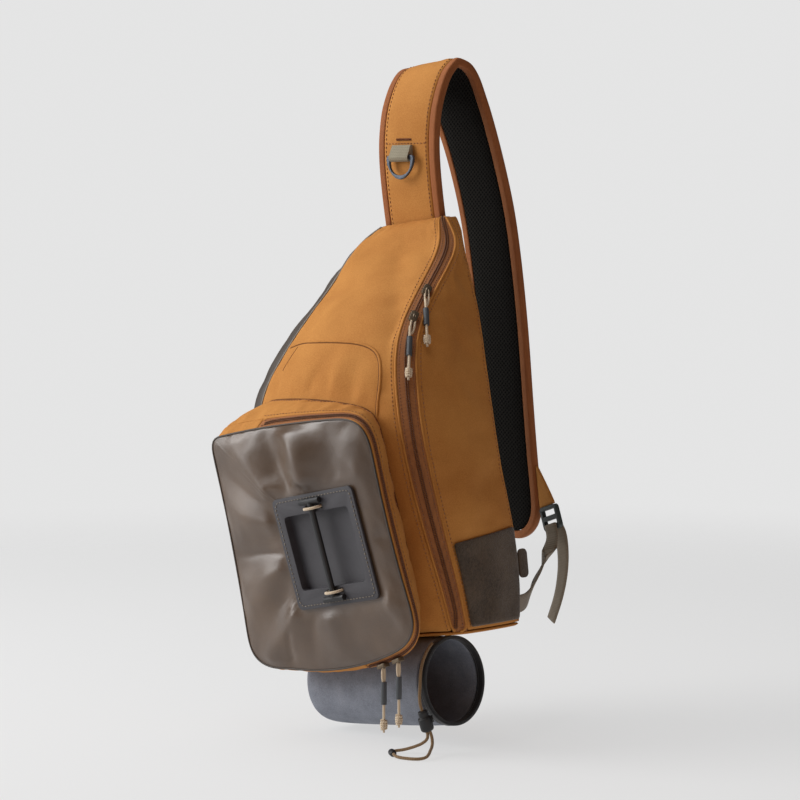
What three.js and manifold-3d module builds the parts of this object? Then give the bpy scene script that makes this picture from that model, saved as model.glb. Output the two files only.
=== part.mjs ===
// Sling backpack: a single-strap pack of tan cloth with a coated front pocket, a padded
// shoulder strap and a fabric sleeve under its base. Millimetres, +Z up, front towards -Y.
// The origin lies under the top of the strap, where a shoulder or a peg carries the bag.

import * as THREE from 'three';
import { mergeVertices } from 'three/addons/utils/BufferGeometryUtils.js';
import Module from 'manifold-3d';

const { Vector2, Vector3, Group, Mesh, Shape } = THREE;
const { degToRad, lerp, smoothstep, clamp } = THREE.MathUtils;

const wasm = await Module();
wasm.setup();

// Driving dimensions
const SEAM_GAP = 0.3;
const WALL = 2.5;
const BACK_PAD = 8;
const BAG_ROLL = degToRad(7);
const BAG_TOP = new Vector3(0, -30, -150);
const BODY_HEIGHT = 400;
const BODY_ROWS = 18;
const BASE_THICKNESS = 3;
const SIDE_CROWN = 4;
const BACK_CROWN = 6;
const ZIP_CROWN = 2;
const FELT_TOP = 313;
const FELT_THICKNESS = 2.5;
const FELT_LIFT = 0.6;
const FELT_SLANT = 10;
const FELT_HEM = 3;
const FELT_TAB = { x: 106, y: -6, depth: 344, length: 28, reach: 13 };
const POCKET_PLANE_TOP = { depth: 195, y: -200 };
const POCKET_PLANE_BOTTOM = { depth: 429, y: -166 };
const POCKET_CROWN = 7;
const GUSSET_PUFF = 5;
const GUSSET_SAG = 7;
const GUSSET_BULGE = 0.7;
const FRONT_CLEARANCE = 0.9;
const ZIP_SHARE = 0.2;
const SHARE_GAP = 0.006;
const BAND_END_GAP = 0.03;
const DOCK_CENTRE = { x: 26, depth: 310 };
const DOCK_SIZE = 108;
const DOCK_TRAY_WIDTH = 86;
const DOCK_TRAY_HEIGHT = 72;
const DOCK_FLANGE = 2.5;
const DOCK_TRAY_DEPTH = 9;
const DOCK_TILT = degToRad(-5);
const DOCK_SEAT = 5.5;
const DOCK_GAP = 0.8;
const DOCK_CORNER = 6;
const TRAY_CORNER = 4;
const HOLE_CORNER = 5;
const HOLE_CUT = 40;
const TRAY_SKIN = 2;
const HOLE_CLEARANCE = 1;
const CORD_SLOT_X = 9;
const CORD_SLOT_Z = 40.5;
const CORD_SLOT_SIZE = 4.4;
const BAR_RADIUS = 3;
const BAR_REACH = 47;
const BAR_CROSS = 26;
const BAR_SIDES = 10;
const STRAP_HALF_WIDTH = 39;
const STRAP_BINDING_WIDTH = 9;
const STRAP_MESH_THICKNESS = 4.5;
const STRAP_THICKNESS = 10.8;
const STRAP_EDGE_THICKNESS = 9;
const STRAP_STEP = 22;
const STRAP_ARCH_STEP = 8;
const STRAP_ARCH = { from: 90, to: 230 };
const BINDING_LIFT = 0.4;
const BINDING_ROUND = 1.5;
const BINDING_END_STEPS = 10;
const WING_BEFORE_END = 76;
const WING_TIP = 1.5;
const WING_HOLD = 0.55;
const WING_LENGTH = 42;
const WING_REACH = 24;
const WING_SKEW = 6;
const WING_LIFT = 3;
const WING_THICKNESS = 2.5;
const LOCK_WIDTH = 26;
const LOCK_HEIGHT = 25;
const LOCK_THICKNESS = 5;
const LOCK_SLOT = 20;
const LOCK_SLOT_Z = 5.4;
const LOCK_SLOT_HALF = 3;
const LOCK_CORNER = 4;
const WEBBING_WIDTH = 18;
const WEBBING_THICKNESS = 1.8;
const WEBBING_START = 6;
const WEBBING_ANCHOR = new Vector3(96, -8.3, -384);
const TAB_WIDTH = 25;
const TAB_CLOTH = 1.5;
const TAB_BORE = 3;
const TAB_HEIGHT = 12;
const RING_WAY = 71;
const RING_SIDE = -1.5;
const RING_HALF_WIDTH = 18;
const RING_DROP = 22;
const RING_THICKNESS = 3;
const RING_BEND = 4;
const RING_WIRE = 4;
const SLEEVE_RADIUS = 43;
const SLEEVE_WALL = 2.5;
const SLEEVE_SIDES = 24;
const SLEEVE_LENGTH = 164;
const SLEEVE_MOUTH_X = 74;
const SLEEVE_Y = -88;
const HEM_WIDTH = 6;
const HEM_DEPTH = 3.4;
const HEM_RISE = 0.2;
const CORD_RADIUS = 1.5;
const CORD_SIDES = 8;
const CORD_FIRST_ANGLE = degToRad(58);
const CORD_LAST_ANGLE = degToRad(-26);
const CORD_POINTS = 12;
const CORD_STAND_OFF = 6;
const CORD_LOCK_RADIUS = 6.5;
const CORD_LOCK_LENGTH = 20;
const LOOP_EXIT = 0.5;
const LOOP_STRAIGHT = 8;
const LOOP_APART = 2.2;
const CLIP_RADIUS = 3.4;
const CLIP_END_RADIUS = 2.2;
const PULL_CORD_RADIUS = 1.3;
const SLIDER_WIDTH = 8;
const SLIDER_LENGTH = 12;
const SLIDER_THICKNESS = 4;
const SLIDER_SEAT = 0.6;
const GRIP_RADIUS = 2.8;
const GRIP_SPAN = [0.22, 0.6];
const PULL_LIFT = 5;
const PULL_DROP = 56;
const SLIDER_CORNER = 2.5;
const PULL_EYE = 5.4;

// Body sections from the top seam down: the front seam on the left, both edges of the zip,
// both back corners and the left corner, each by x and y, and the front panel's crown
const BODY_SECTIONS = [
  { depth: 0, seamX: -39, seamY: -4.5, zipX: 37, zipY: -4.5, sideX: 43.5, sideY: 0, rightX: 43.5,
    rightY: 14.5, leftX: -45, leftY: 14.5, cornerX: -45.5, cornerY: 0, crown: 0 },
  { depth: 12, seamX: -55, seamY: -17, zipX: 46, zipY: -15, sideX: 53, sideY: -5, rightX: 51,
    rightY: 13, leftX: -56, leftY: 13, cornerX: -58, cornerY: -15, crown: 1 },
  { depth: 31, seamX: -61, seamY: -36, zipX: 55, zipY: -27, sideX: 67, sideY: -13, rightX: 64,
    rightY: -1, leftX: -67, leftY: 0, cornerX: -66, cornerY: -37, crown: 3 },
  { depth: 60, seamX: -64, seamY: -63, zipX: 61, zipY: -58, sideX: 74, sideY: -45, rightX: 74,
    rightY: -6, leftX: -79, leftY: -6, cornerX: -81, cornerY: -61, crown: 6 },
  { depth: 90, seamX: -74, seamY: -91, zipX: 66, zipY: -90, sideX: 78.5, sideY: -77, rightX: 80,
    rightY: -6, leftX: -89, leftY: -6, cornerX: -91, cornerY: -87, crown: 9 },
  { depth: 112, seamX: -77, seamY: -111, zipX: 69.5, zipY: -111, sideX: 83, sideY: -97, rightX: 85,
    rightY: -9, leftX: -97, leftY: -9, cornerX: -100, cornerY: -105, crown: 11 },
  { depth: 137, seamX: -87, seamY: -127, zipX: 74, zipY: -124, sideX: 88, sideY: -110, rightX: 90,
    rightY: -13, leftX: -106, leftY: -13, cornerX: -112, cornerY: -119, crown: 13 },
  { depth: 160, seamX: -97, seamY: -136, zipX: 78, zipY: -131, sideX: 92.5, sideY: -116, rightX: 95,
    rightY: -17, leftX: -112, leftY: -16, cornerX: -120, cornerY: -130, crown: 16 },
  { depth: 200, seamX: -101, seamY: -143, zipX: 86, zipY: -139, sideX: 100, sideY: -124, rightX: 102,
    rightY: -22, leftX: -117, leftY: -21, cornerX: -122, cornerY: -136, crown: 19 },
  { depth: 250, seamX: -100, seamY: -142, zipX: 91, zipY: -137, sideX: 105, sideY: -122, rightX: 107,
    rightY: -23, leftX: -118, leftY: -22, cornerX: -120, cornerY: -134, crown: 21 },
  { depth: 310, seamX: -98, seamY: -133, zipX: 92, zipY: -123, sideX: 105, sideY: -109, rightX: 106,
    rightY: -12, leftX: -112, leftY: -12, cornerX: -116, cornerY: -124, crown: 21 },
  { depth: 360, seamX: -95, seamY: -119, zipX: 92, zipY: -108, sideX: 104, sideY: -96, rightX: 104.5,
    rightY: -9, leftX: -108, leftY: -9, cornerX: -111, cornerY: -112, crown: 19 },
  { depth: 400, seamX: -92, seamY: -104, zipX: 90, zipY: -96, sideX: 101, sideY: -87, rightX: 101,
    rightY: -11, leftX: -102, leftY: -11, cornerX: -105, cornerY: -98, crown: 15 },
];

// Pocket outline, a row for each curved stretch with its bend and its end: the rim is the edge
// of the coated panel, the base is the line where the gusset meets the body
const POCKET_START = { rimX: -98, rimDepth: 197, baseX: -76, baseDepth: 166 };
const POCKET_STRETCHES = [
  { steps: 9, rimBendX: -20, rimBendDepth: 189, rimX: 70, rimDepth: 191,
    baseBendX: -10, baseBendDepth: 166, baseX: 45, baseDepth: 180 },
  { steps: 4, rimBendX: 101, rimBendDepth: 191, rimX: 101, rimDepth: 222,
    baseBendX: 66, baseBendDepth: 185, baseX: 70, baseDepth: 208 },
  { steps: 8, rimBendX: 101, rimBendDepth: 300, rimX: 112, rimDepth: 372,
    baseBendX: 82, baseBendDepth: 285, baseX: 67, baseDepth: 362 },
  { steps: 5, rimBendX: 117, rimBendDepth: 401, rimX: 78, rimDepth: 412,
    baseBendX: 62, baseBendDepth: 390, baseX: 45, baseDepth: 391 },
  { steps: 7, rimBendX: 10, rimBendDepth: 433, rimX: -62, rimDepth: 425,
    baseBendX: -5, baseBendDepth: 393, baseX: -50, baseDepth: 393 },
  { steps: 5, rimBendX: -111, rimBendDepth: 428, rimX: -111, rimDepth: 398,
    baseBendX: -84, baseBendDepth: 393, baseX: -84, baseDepth: 370 },
  { steps: 8, rimBendX: -104, rimBendDepth: 300, rimX: -109, rimDepth: 211,
    baseBendX: -84, baseBendDepth: 270, baseX: -86, baseDepth: 186 },
  { steps: 4, rimBendX: -109, rimBendDepth: 197, rimX: -98, rimDepth: 197,
    baseBendX: -86, baseBendDepth: 166, baseX: -76, baseDepth: 166 },
];
const POCKET_ZIP_FIRST = 3;
const POCKET_ZIP_LAST = 28;
const PANEL_RINGS = [1, 0.92, 0.82, 0.7, 0.58, 0.42];

// Soft folds of the coated panel: a ridge or a dent along a line, with its width and height
const PANEL_FOLDS = [
  { fromX: 12, fromDepth: 192, toX: 22, toDepth: 250, width: 14, height: 5 },
  { fromX: -22, fromDepth: 196, toX: -14, toDepth: 262, width: 12, height: -4 },
  { fromX: -36, fromDepth: 330, toX: -104, toDepth: 372, width: 11, height: 4 },
  { fromX: -40, fromDepth: 296, toX: -104, toDepth: 318, width: 12, height: -3 },
  { fromX: -50, fromDepth: 360, toX: -58, toDepth: 420, width: 10, height: -4 },
];

// Strap route along the middle of its inner face, with the roll and yaw of its width
const STRAP_ROUTE = [
  { x: -2, y: -19.5, z: -156, roll: 0, yaw: 0 },
  { x: -3, y: -24, z: -126, roll: 1, yaw: 0 },
  { x: -3, y: -29, z: -90, roll: 2, yaw: 0 },
  { x: -3, y: -29, z: -58, roll: 3, yaw: 0 },
  { x: -2, y: -23, z: -31, roll: 5, yaw: 0 },
  { x: -1, y: -12, z: -9, roll: 6, yaw: 0 },
  { x: 0, y: 0, z: 0, roll: 6, yaw: 0 },
  { x: 1, y: 14, z: -9, roll: 6, yaw: -1 },
  { x: 2, y: 27, z: -31, roll: 5, yaw: -3 },
  { x: 3, y: 41, z: -59, roll: 4, yaw: -6 },
  { x: 4, y: 55, z: -95, roll: 3, yaw: -7 },
  { x: 6, y: 68, z: -140, roll: 2, yaw: -7 },
  { x: 9, y: 75, z: -187, roll: 1, yaw: -7 },
  { x: 13, y: 82, z: -260, roll: 0, yaw: -7 },
  { x: 18, y: 85, z: -333, roll: 0, yaw: -8 },
  { x: 22, y: 88, z: -391, roll: 0, yaw: -9 },
  { x: 26, y: 91, z: -438, roll: 0, yaw: -10 },
  { x: 28, y: 93, z: -478, roll: 0, yaw: -10 },
];

// Finishes: colour, roughness, metalness
const CANVAS = { color: 0xb87c42, roughness: 0.9, metalness: 0 };
const COATED = { color: 0x463c34, roughness: 0.4, metalness: 0 };
const ZIP_TAPE = { color: 0x80532f, roughness: 0.8, metalness: 0 };
const FELT = { color: 0x3e342a, roughness: 1, metalness: 0 };
const MESH_CLOTH = { color: 0x191919, roughness: 0.95, metalness: 0 };
const BINDING = { color: 0xa0623a, roughness: 0.75, metalness: 0 };
const WEBBING = { color: 0x7d705f, roughness: 0.85, metalness: 0 };
const TAB_WEB = { color: 0x968e78, roughness: 0.85, metalness: 0 };
const MOULDED = { color: 0x3a383c, roughness: 0.55, metalness: 0 };
const BUCKLE = { color: 0x373e3c, roughness: 0.5, metalness: 0 };
const RING_METAL = { color: 0x555f6e, roughness: 0.4, metalness: 0.7 };
const SLEEVE_CLOTH = { color: 0x69696f, roughness: 0.9, metalness: 0 };
const HEM_CLOTH = { color: 0x17171a, roughness: 0.85, metalness: 0 };
const CORD_TAN = { color: 0x8c7354, roughness: 0.85, metalness: 0 };
const CORD_PALE = { color: 0xd7c3aa, roughness: 0.85, metalness: 0 };
const GRIP = { color: 0x46505a, roughness: 0.5, metalness: 0 };
const SLIDER_METAL = { color: 0x9a9890, roughness: 0.35, metalness: 0.9 };

// Body panels round the section, with their steps and finish
const PANELS = [
  { name: 'front_panel', steps: 9, finish: CANVAS },
  { name: 'main_zip', steps: 2, finish: ZIP_TAPE },
  { name: 'right_side', steps: 5, finish: CANVAS },
  { name: 'back_panel', steps: 8, finish: MESH_CLOTH },
  { name: 'left_side', steps: 6, finish: COATED },
];

// Main zip's pulls: the slider's depth, and both ends of the pull by depth and place across the zip
const MAIN_PULLS = [
  { name: 'main_upper', depth: 76, topDepth: 84, topAcross: 0.7, lowDepth: 126, lowAcross: 1.4 },
  { name: 'main_lower', depth: 101, topDepth: 109, topAcross: 0.5, lowDepth: 156, lowAcross: 0.6 },
];

// Pocket zip's pulls: place along the pocket's outline and share of the gusset
const POCKET_PULLS = [
  { name: 'pocket_front', index: 27, share: 0.08 },
  { name: 'pocket_rear', index: 26, share: 0.1 },
];

// Free loop of the elastic cord: both sides of it between the lock and the clip
const LOOP_LEFT = [new Vector3(117, -168, -643), new Vector3(110, -176, -645)];
const LOOP_RIGHT = [
  new Vector3(134, -190, -645), new Vector3(146, -186, -645), new Vector3(154, -178, -644),
  new Vector3(155, -170, -638),
];
const CLIP_START = new Vector3(113, -184, -645);
const CLIP_END = new Vector3(122, -190, -645);

const backpack = new Group();
const bag = new Group();
bag.position.copy(BAG_TOP);
bag.rotation.y = -BAG_ROLL;
backpack.add(bag);

function add(parent, name, geometry, finish) {
  const mesh = new Mesh(geometry, new THREE.MeshStandardMaterial(finish));
  mesh.name = name;
  parent.add(mesh);
  return mesh;
}

// Smooth value of a table's column between its rows
function along(table, key, column, at) {
  const last = table.length - 1;
  const after = table.findIndex((row) => row[key] > at);
  const i = after < 0 ? last - 1 : Math.max(after - 1, 0);
  const slope = (k) => {
    const low = table[Math.max(k - 1, 0)];
    const high = table[Math.min(k + 1, last)];
    return (high[column] - low[column]) / (high[key] - low[key]);
  };
  const span = table[i + 1][key] - table[i][key];
  const t = clamp((at - table[i][key]) / span, 0, 1);
  const h01 = t * t * (3 - 2 * t);
  const h10 = t * (1 - t) * (1 - t);
  const h11 = t * t * (t - 1);
  return lerp(table[i][column], table[i + 1][column], h01) + span * (h10 * slope(i) + h11 * slope(i + 1));
}

// Geometry from points and triangles, turned so that its faces point out
function solidFrom(points, triangles) {
  let volume = 0;
  for (const [a, b, c] of triangles) {
    volume += points[a].dot(new Vector3().crossVectors(points[b], points[c]));
  }
  const turned = volume < 0 ? triangles.map(([a, b, c]) => [a, c, b]) : triangles;
  const geometry = new THREE.BufferGeometry();
  geometry.setAttribute('position', new THREE.Float32BufferAttribute(points.flatMap((p) => p.toArray()), 3));
  geometry.setIndex(turned.flat());
  geometry.computeVertexNormals();
  return geometry;
}

function quad(triangles, a, b, c, d) {
  triangles.push([a, b, c], [a, c, d]);
}

// Solid through a row of closed loops, with a cap at each end
function loft(loops) {
  const n = loops[0].length;
  const points = loops.flat();
  const triangles = [];
  for (let r = 0; r + 1 < loops.length; r += 1) {
    for (let i = 0; i < n; i += 1) {
      const j = (i + 1) % n;
      quad(triangles, r * n + i, r * n + j, (r + 1) * n + j, (r + 1) * n + i);
    }
  }
  for (const [row, turn] of [[0, true], [loops.length - 1, false]]) {
    const middle = new Vector3();
    loops[row].forEach((p) => middle.addScaledVector(p, 1 / n));
    const centre = points.push(middle) - 1;
    for (let i = 0; i < n; i += 1) {
      const j = (i + 1) % n;
      triangles.push(turn ? [centre, row * n + j, row * n + i] : [centre, row * n + i, row * n + j]);
    }
  }
  return solidFrom(points, triangles);
}

// Wall between an outer and an inner grid of points, closed along its rims
function wall(outer, inner, wraps = false) {
  const rows = outer.length;
  const n = outer[0].length;
  const points = [...outer.flat(), ...inner.flat()];
  const back = rows * n;
  const triangles = [];
  const columns = wraps ? n : n - 1;
  for (let r = 0; r + 1 < rows; r += 1) {
    for (let i = 0; i < columns; i += 1) {
      const j = (i + 1) % n;
      const [a, b, c, d] = [r * n + i, r * n + j, (r + 1) * n + j, (r + 1) * n + i];
      quad(triangles, a, b, c, d);
      quad(triangles, back + a, back + d, back + c, back + b);
    }
  }
  for (let i = 0; i < columns; i += 1) {
    const j = (i + 1) % n;
    const low = (rows - 1) * n;
    quad(triangles, i, back + i, back + j, j);
    quad(triangles, low + i, low + j, back + low + j, back + low + i);
  }
  if (!wraps) {
    for (let r = 0; r + 1 < rows; r += 1) {
      const [a, b] = [r * n, (r + 1) * n];
      quad(triangles, a, b, back + b, back + a);
      const [c, d] = [a + n - 1, b + n - 1];
      quad(triangles, c, back + c, back + d, d);
    }
  }
  return solidFrom(points, triangles);
}

// Inward step from each point of a closed outline, as wide as each point's thickness
function insetLoop(loop, thickness) {
  const n = loop.length;
  return loop.map((p, i) => {
    const before = loop[(i + n - 1) % n];
    const after = loop[(i + 1) % n];
    const first = new Vector2(before.y - p.y, p.x - before.x).normalize();
    const second = new Vector2(p.y - after.y, after.x - p.x).normalize();
    const middle = first.clone().add(second).normalize();
    const reach = thickness(i) / Math.max(middle.dot(first), 0.5);
    return new Vector2(p.x + middle.x * reach, p.y + middle.y * reach);
  });
}

// Body walls: each panel takes its own stretch of the section and keeps a seam's gap

function sectionAt(depth) {
  const at = (column) => along(BODY_SECTIONS, 'depth', column, depth);
  const opened = smoothstep(depth, 0, 60);
  return {
    seam: new Vector2(at('seamX'), at('seamY')),
    zip: new Vector2(at('zipX'), at('zipY')),
    side: new Vector2(at('sideX'), at('sideY')),
    right: new Vector2(at('rightX'), at('rightY')),
    left: new Vector2(at('leftX'), at('leftY')),
    corner: new Vector2(at('cornerX'), at('cornerY')),
    crowns: [at('crown'), ZIP_CROWN * opened, SIDE_CROWN * opened, BACK_CROWN * opened, SIDE_CROWN * opened],
  };
}

// Point of a bowed line between two corners of the section
function bowed(from, to, crown, t) {
  const direction = to.clone().sub(from).normalize();
  const rise = crown * (1 - Math.abs(2 * t - 1) ** 2.2);
  return from.clone().lerp(to, t).add(new Vector2(direction.y, -direction.x).multiplyScalar(rise));
}

function sectionLoop(depth) {
  const s = sectionAt(depth);
  const corners = [s.seam, s.zip, s.side, s.right, s.left, s.corner];
  const loop = [];
  PANELS.forEach((panel, k) => {
    if (panel.name === 'left_side') {
      for (let i = 0; i < panel.steps - 1; i += 1) {
        loop.push(bowed(s.left, s.corner, s.crowns[k], i / (panel.steps - 1)));
      }
      loop.push(s.corner);
      return;
    }
    for (let i = 0; i < panel.steps; i += 1) {
      loop.push(bowed(corners[k], corners[k + 1], s.crowns[k], i / panel.steps));
    }
  });
  return loop;
}

const bodyDepths = Array.from({ length: BODY_ROWS + 1 }, (_, i) => BODY_HEIGHT * (i / BODY_ROWS) ** 1.25);
const bodyOuter = bodyDepths.map(sectionLoop);
const backStart = PANELS.slice(0, 3).reduce((sum, panel) => sum + panel.steps, 0);
const bodyInner = bodyOuter.map((loop, row) => {
  const padding = lerp(WALL, BACK_PAD, smoothstep(bodyDepths[row], 20, 80));
  const inBack = (i) => i > backStart + 1 && i < backStart + PANELS[3].steps - 1;
  return insetLoop(loop, (i) => (inBack(i) ? padding : WALL));
});

function panelGrid(loops, start, steps) {
  return loops.map((loop, row) => {
    const run = Array.from({ length: steps + 1 }, (_, i) => loop[(start + i) % loop.length].clone());
    const ends = [[0, 1], [steps, steps - 1]];
    for (const [end, next] of ends) {
      const inward = run[next].clone().sub(run[end]).setLength(SEAM_GAP / 2);
      run[end].add(inward);
    }
    return run.map((p) => new Vector3(p.x, p.y, -bodyDepths[row]));
  });
}

const panelGrids = {};
let panelStart = 0;
for (const panel of PANELS) {
  const outer = panelGrid(bodyOuter, panelStart, panel.steps);
  const inner = panelGrid(bodyInner, panelStart, panel.steps);
  panelGrids[panel.name] = outer;
  add(bag, panel.name, wall(outer, inner), panel.finish);
  panelStart += panel.steps;
}

// Base of the body
const baseLoop = (depth, inset) => insetLoop(bodyOuter.at(-1), () => inset)
  .map((p) => new Vector3(p.x, p.y, -depth));
const baseTop = BODY_HEIGHT + SEAM_GAP;
const baseLoops = [baseLoop(baseTop, 0.2), baseLoop(baseTop + BASE_THICKNESS, 1.5)];
add(bag, 'bottom_panel', loft(baseLoops), CANVAS);

// Felt patch on the lower part of the right side, standing off its outer face
function sideGridPoint(depth, t, lift) {
  const s = sectionAt(depth);
  const p = bowed(s.side, s.right, s.crowns[2], t);
  const out = s.right.clone().sub(s.side).normalize();
  return new Vector3(p.x + out.y * lift, p.y - out.x * lift, -depth);
}

const feltDepths = [0, 0.34, 0.67, 1];
const feltGrid = (lift) => feltDepths.map((t) => [0.05, 0.25, 0.5, 0.75, 0.96].map((across) => {
  const top = FELT_TOP + FELT_SLANT * (0.4 - across);
  return sideGridPoint(lerp(top, BODY_HEIGHT - FELT_HEM, t), across, lift);
}));
add(bag, 'felt_patch', wall(feltGrid(FELT_LIFT + FELT_THICKNESS), feltGrid(FELT_LIFT)), FELT);

// Pocket on the front panel

// Outer face of the front panel at a place, read from its own facets
function frontFaceY(x, depth) {
  const grid = panelGrids.front_panel;
  const row = clamp(bodyDepths.findIndex((d) => d > depth) - 1, 0, BODY_ROWS - 1);
  const down = (depth - bodyDepths[row]) / (bodyDepths[row + 1] - bodyDepths[row]);
  const rowY = (points) => {
    const after = points.findIndex((p) => p.x > x);
    const i = clamp(after < 0 ? points.length - 2 : after - 1, 0, points.length - 2);
    return lerp(points[i].y, points[i + 1].y, (x - points[i].x) / (points[i + 1].x - points[i].x));
  };
  return lerp(rowY(grid[row]), rowY(grid[row + 1]), down);
}

function pocketPlaneY(depth) {
  const t = (depth - POCKET_PLANE_TOP.depth) / (POCKET_PLANE_BOTTOM.depth - POCKET_PLANE_TOP.depth);
  return lerp(POCKET_PLANE_TOP.y, POCKET_PLANE_BOTTOM.y, t);
}

function pocketLoop(part) {
  const [x, depth] = [`${part}X`, `${part}Depth`];
  const [bendX, bendDepth] = [`${part}BendX`, `${part}BendDepth`];
  let from = new Vector2(POCKET_START[x], POCKET_START[depth]);
  return POCKET_STRETCHES.flatMap((stretch) => {
    const to = new Vector2(stretch[x], stretch[depth]);
    const bend = new Vector2(stretch[bendX], stretch[bendDepth]);
    const curve = new THREE.QuadraticBezierCurve(from, bend, to);
    from = to;
    return curve.getPoints(stretch.steps).slice(0, -1);
  });
}

const rimLoop = pocketLoop('rim');
const pocketBase = pocketLoop('base');

// Height of the panel's folds at a place, fading towards the panel's edge
function foldHeight(x, depth) {
  return PANEL_FOLDS.reduce((sum, fold) => {
    const from = new Vector2(fold.fromX, fold.fromDepth);
    const line = new Vector2(fold.toX, fold.toDepth).sub(from);
    const place = new Vector2(x, depth).sub(from);
    const t = clamp(place.dot(line) / line.lengthSq(), 0, 1);
    const away = place.addScaledVector(line, -t).length() / fold.width;
    return sum + fold.height * Math.exp(-away * away);
  }, 0);
}

function panelY(x, depth, ring) {
  const turn = new Vector2(x - DOCK_CENTRE.x, depth - DOCK_CENTRE.depth);
  turn.rotateAround(new Vector2(), -DOCK_TILT);
  const outside = Math.max(Math.abs(turn.x), Math.abs(turn.y)) - DOCK_SIZE / 2;
  const flat = 1 - smoothstep(outside, 3, 22);
  const soft = POCKET_CROWN * (1 - ring ** 4) + foldHeight(x, depth) * smoothstep(1 - ring, 0, 0.12);
  return pocketPlaneY(depth) - lerp(soft, DOCK_SEAT, flat);
}

function panelRings(lift) {
  return PANEL_RINGS.map((ring) => rimLoop.map((p) => {
    const x = lerp(DOCK_CENTRE.x, p.x, ring);
    const depth = lerp(DOCK_CENTRE.depth, p.y, ring);
    return new Vector3(x, panelY(x, depth, ring) + lift, -depth);
  }));
}

// Closed pillow between two stacks of rings that share their outer edge
function skin(front, back) {
  return loft([...front.slice().reverse(), ...back]);
}

function toManifold(geometry) {
  const bare = geometry.clone();
  bare.deleteAttribute('normal');
  bare.deleteAttribute('uv');
  const merged = mergeVertices(bare);
  const vertProperties = new Float32Array(merged.attributes.position.array);
  const triVerts = new Uint32Array(merged.index.array);
  return new wasm.Manifold(new wasm.Mesh({ numProp: 3, vertProperties, triVerts }));
}

function fromManifold(solid) {
  const mesh = solid.getMesh();
  const geometry = new THREE.BufferGeometry();
  geometry.setAttribute('position', new THREE.BufferAttribute(new Float32Array(mesh.vertProperties), 3));
  geometry.setIndex(new THREE.BufferAttribute(new Uint32Array(mesh.triVerts), 1));
  geometry.computeVertexNormals();
  return geometry;
}

function roundedRect(width, height, radius) {
  const [x, y] = [width / 2, height / 2];
  const shape = new Shape();
  shape.moveTo(-x + radius, -y);
  shape.lineTo(x - radius, -y);
  shape.absarc(x - radius, -y + radius, radius, -Math.PI / 2, 0);
  shape.lineTo(x, y - radius);
  shape.absarc(x - radius, y - radius, radius, 0, Math.PI / 2);
  shape.lineTo(-x + radius, y);
  shape.absarc(-x + radius, y - radius, radius, Math.PI / 2, Math.PI);
  shape.lineTo(-x, -y + radius);
  shape.absarc(-x + radius, -y + radius, radius, Math.PI, 1.5 * Math.PI);
  return shape;
}

// Plate standing in the XZ plane, its front at y and its back thickness behind it
function plate(shape, thickness, y = 0, curveSegments = 3) {
  const geometry = new THREE.ExtrudeGeometry(shape, { depth: thickness, bevelEnabled: false, curveSegments });
  geometry.rotateX(Math.PI / 2);
  geometry.translate(0, y + thickness, 0);
  return geometry;
}

const pocketLean = Math.atan2(
  POCKET_PLANE_BOTTOM.y - POCKET_PLANE_TOP.y,
  POCKET_PLANE_BOTTOM.depth - POCKET_PLANE_TOP.depth,
);
const dock = new Group();
dock.position.set(DOCK_CENTRE.x, pocketPlaneY(DOCK_CENTRE.depth) - DOCK_SEAT - DOCK_GAP, -DOCK_CENTRE.depth);
dock.rotation.set(pocketLean, DOCK_TILT, 0);
bag.add(dock);

// Coated panel with the hole that the dock's tray passes through
const panelBlank = skin(panelRings(0), panelRings(WALL));
const holeWidth = DOCK_TRAY_WIDTH + 2 * (TRAY_SKIN + HOLE_CLEARANCE);
const holeHeight = DOCK_TRAY_HEIGHT + 2 * (TRAY_SKIN + HOLE_CLEARANCE);
const hole = plate(roundedRect(holeWidth, holeHeight, HOLE_CORNER), HOLE_CUT, -HOLE_CUT / 2);
dock.updateMatrix();
hole.applyMatrix4(dock.matrix);
add(bag, 'pocket_panel', fromManifold(toManifold(panelBlank).subtract(toManifold(hole))), COATED);

// Gusset between the panel's rim and the body, and the zip that runs along its front edge
const rimInner = insetLoop(rimLoop, () => WALL);
const baseInner = insetLoop(pocketBase, () => WALL);

function gussetPoint(index, v, inside) {
  const rim = (inside ? rimInner : rimLoop)[index % rimLoop.length];
  const base = (inside ? baseInner : pocketBase)[index % rimLoop.length];
  const out = rimLoop[index % rimLoop.length].clone().sub(rimInner[index % rimLoop.length]).normalize();
  const puff = GUSSET_PUFF + GUSSET_SAG * Math.max(out.y, 0);
  const place = rim.clone().lerp(base, v).addScaledVector(out, puff * Math.sin(Math.PI * v ** GUSSET_BULGE));
  const front = pocketPlaneY(rim.y) + WALL + SEAM_GAP;
  const back = frontFaceY(base.x, base.y) - FRONT_CLEARANCE;
  return new Vector3(place.x, lerp(front, back, v), -place.y);
}

function gussetBand(first, last, shares, closed) {
  const grid = (inside) => shares.map((v) => {
    const run = [];
    for (let i = first; i <= last; i += 1) {
      run.push(gussetPoint(i, v, inside));
    }
    if (!closed) {
      run[0].lerp(run[1], BAND_END_GAP);
      run.at(-1).lerp(run.at(-2), BAND_END_GAP);
    }
    return run;
  });
  return wall(grid(false), grid(true), closed);
}

const zipShares = [0, ZIP_SHARE / 2, ZIP_SHARE];
const gussetShares = [ZIP_SHARE + SHARE_GAP, 0.45, 0.75, 1];
const loopSize = rimLoop.length;
add(bag, 'pocket_zip', gussetBand(POCKET_ZIP_FIRST, POCKET_ZIP_LAST, zipShares, false), ZIP_TAPE);
add(bag, 'pocket_rim', gussetBand(POCKET_ZIP_LAST, loopSize + POCKET_ZIP_FIRST, zipShares, false), CANVAS);
add(bag, 'pocket_gusset', gussetBand(0, loopSize - 1, gussetShares, true), CANVAS);

// Moulded dock plate with its tray and slots, the bar across it and the cords that hold the bar

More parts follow.
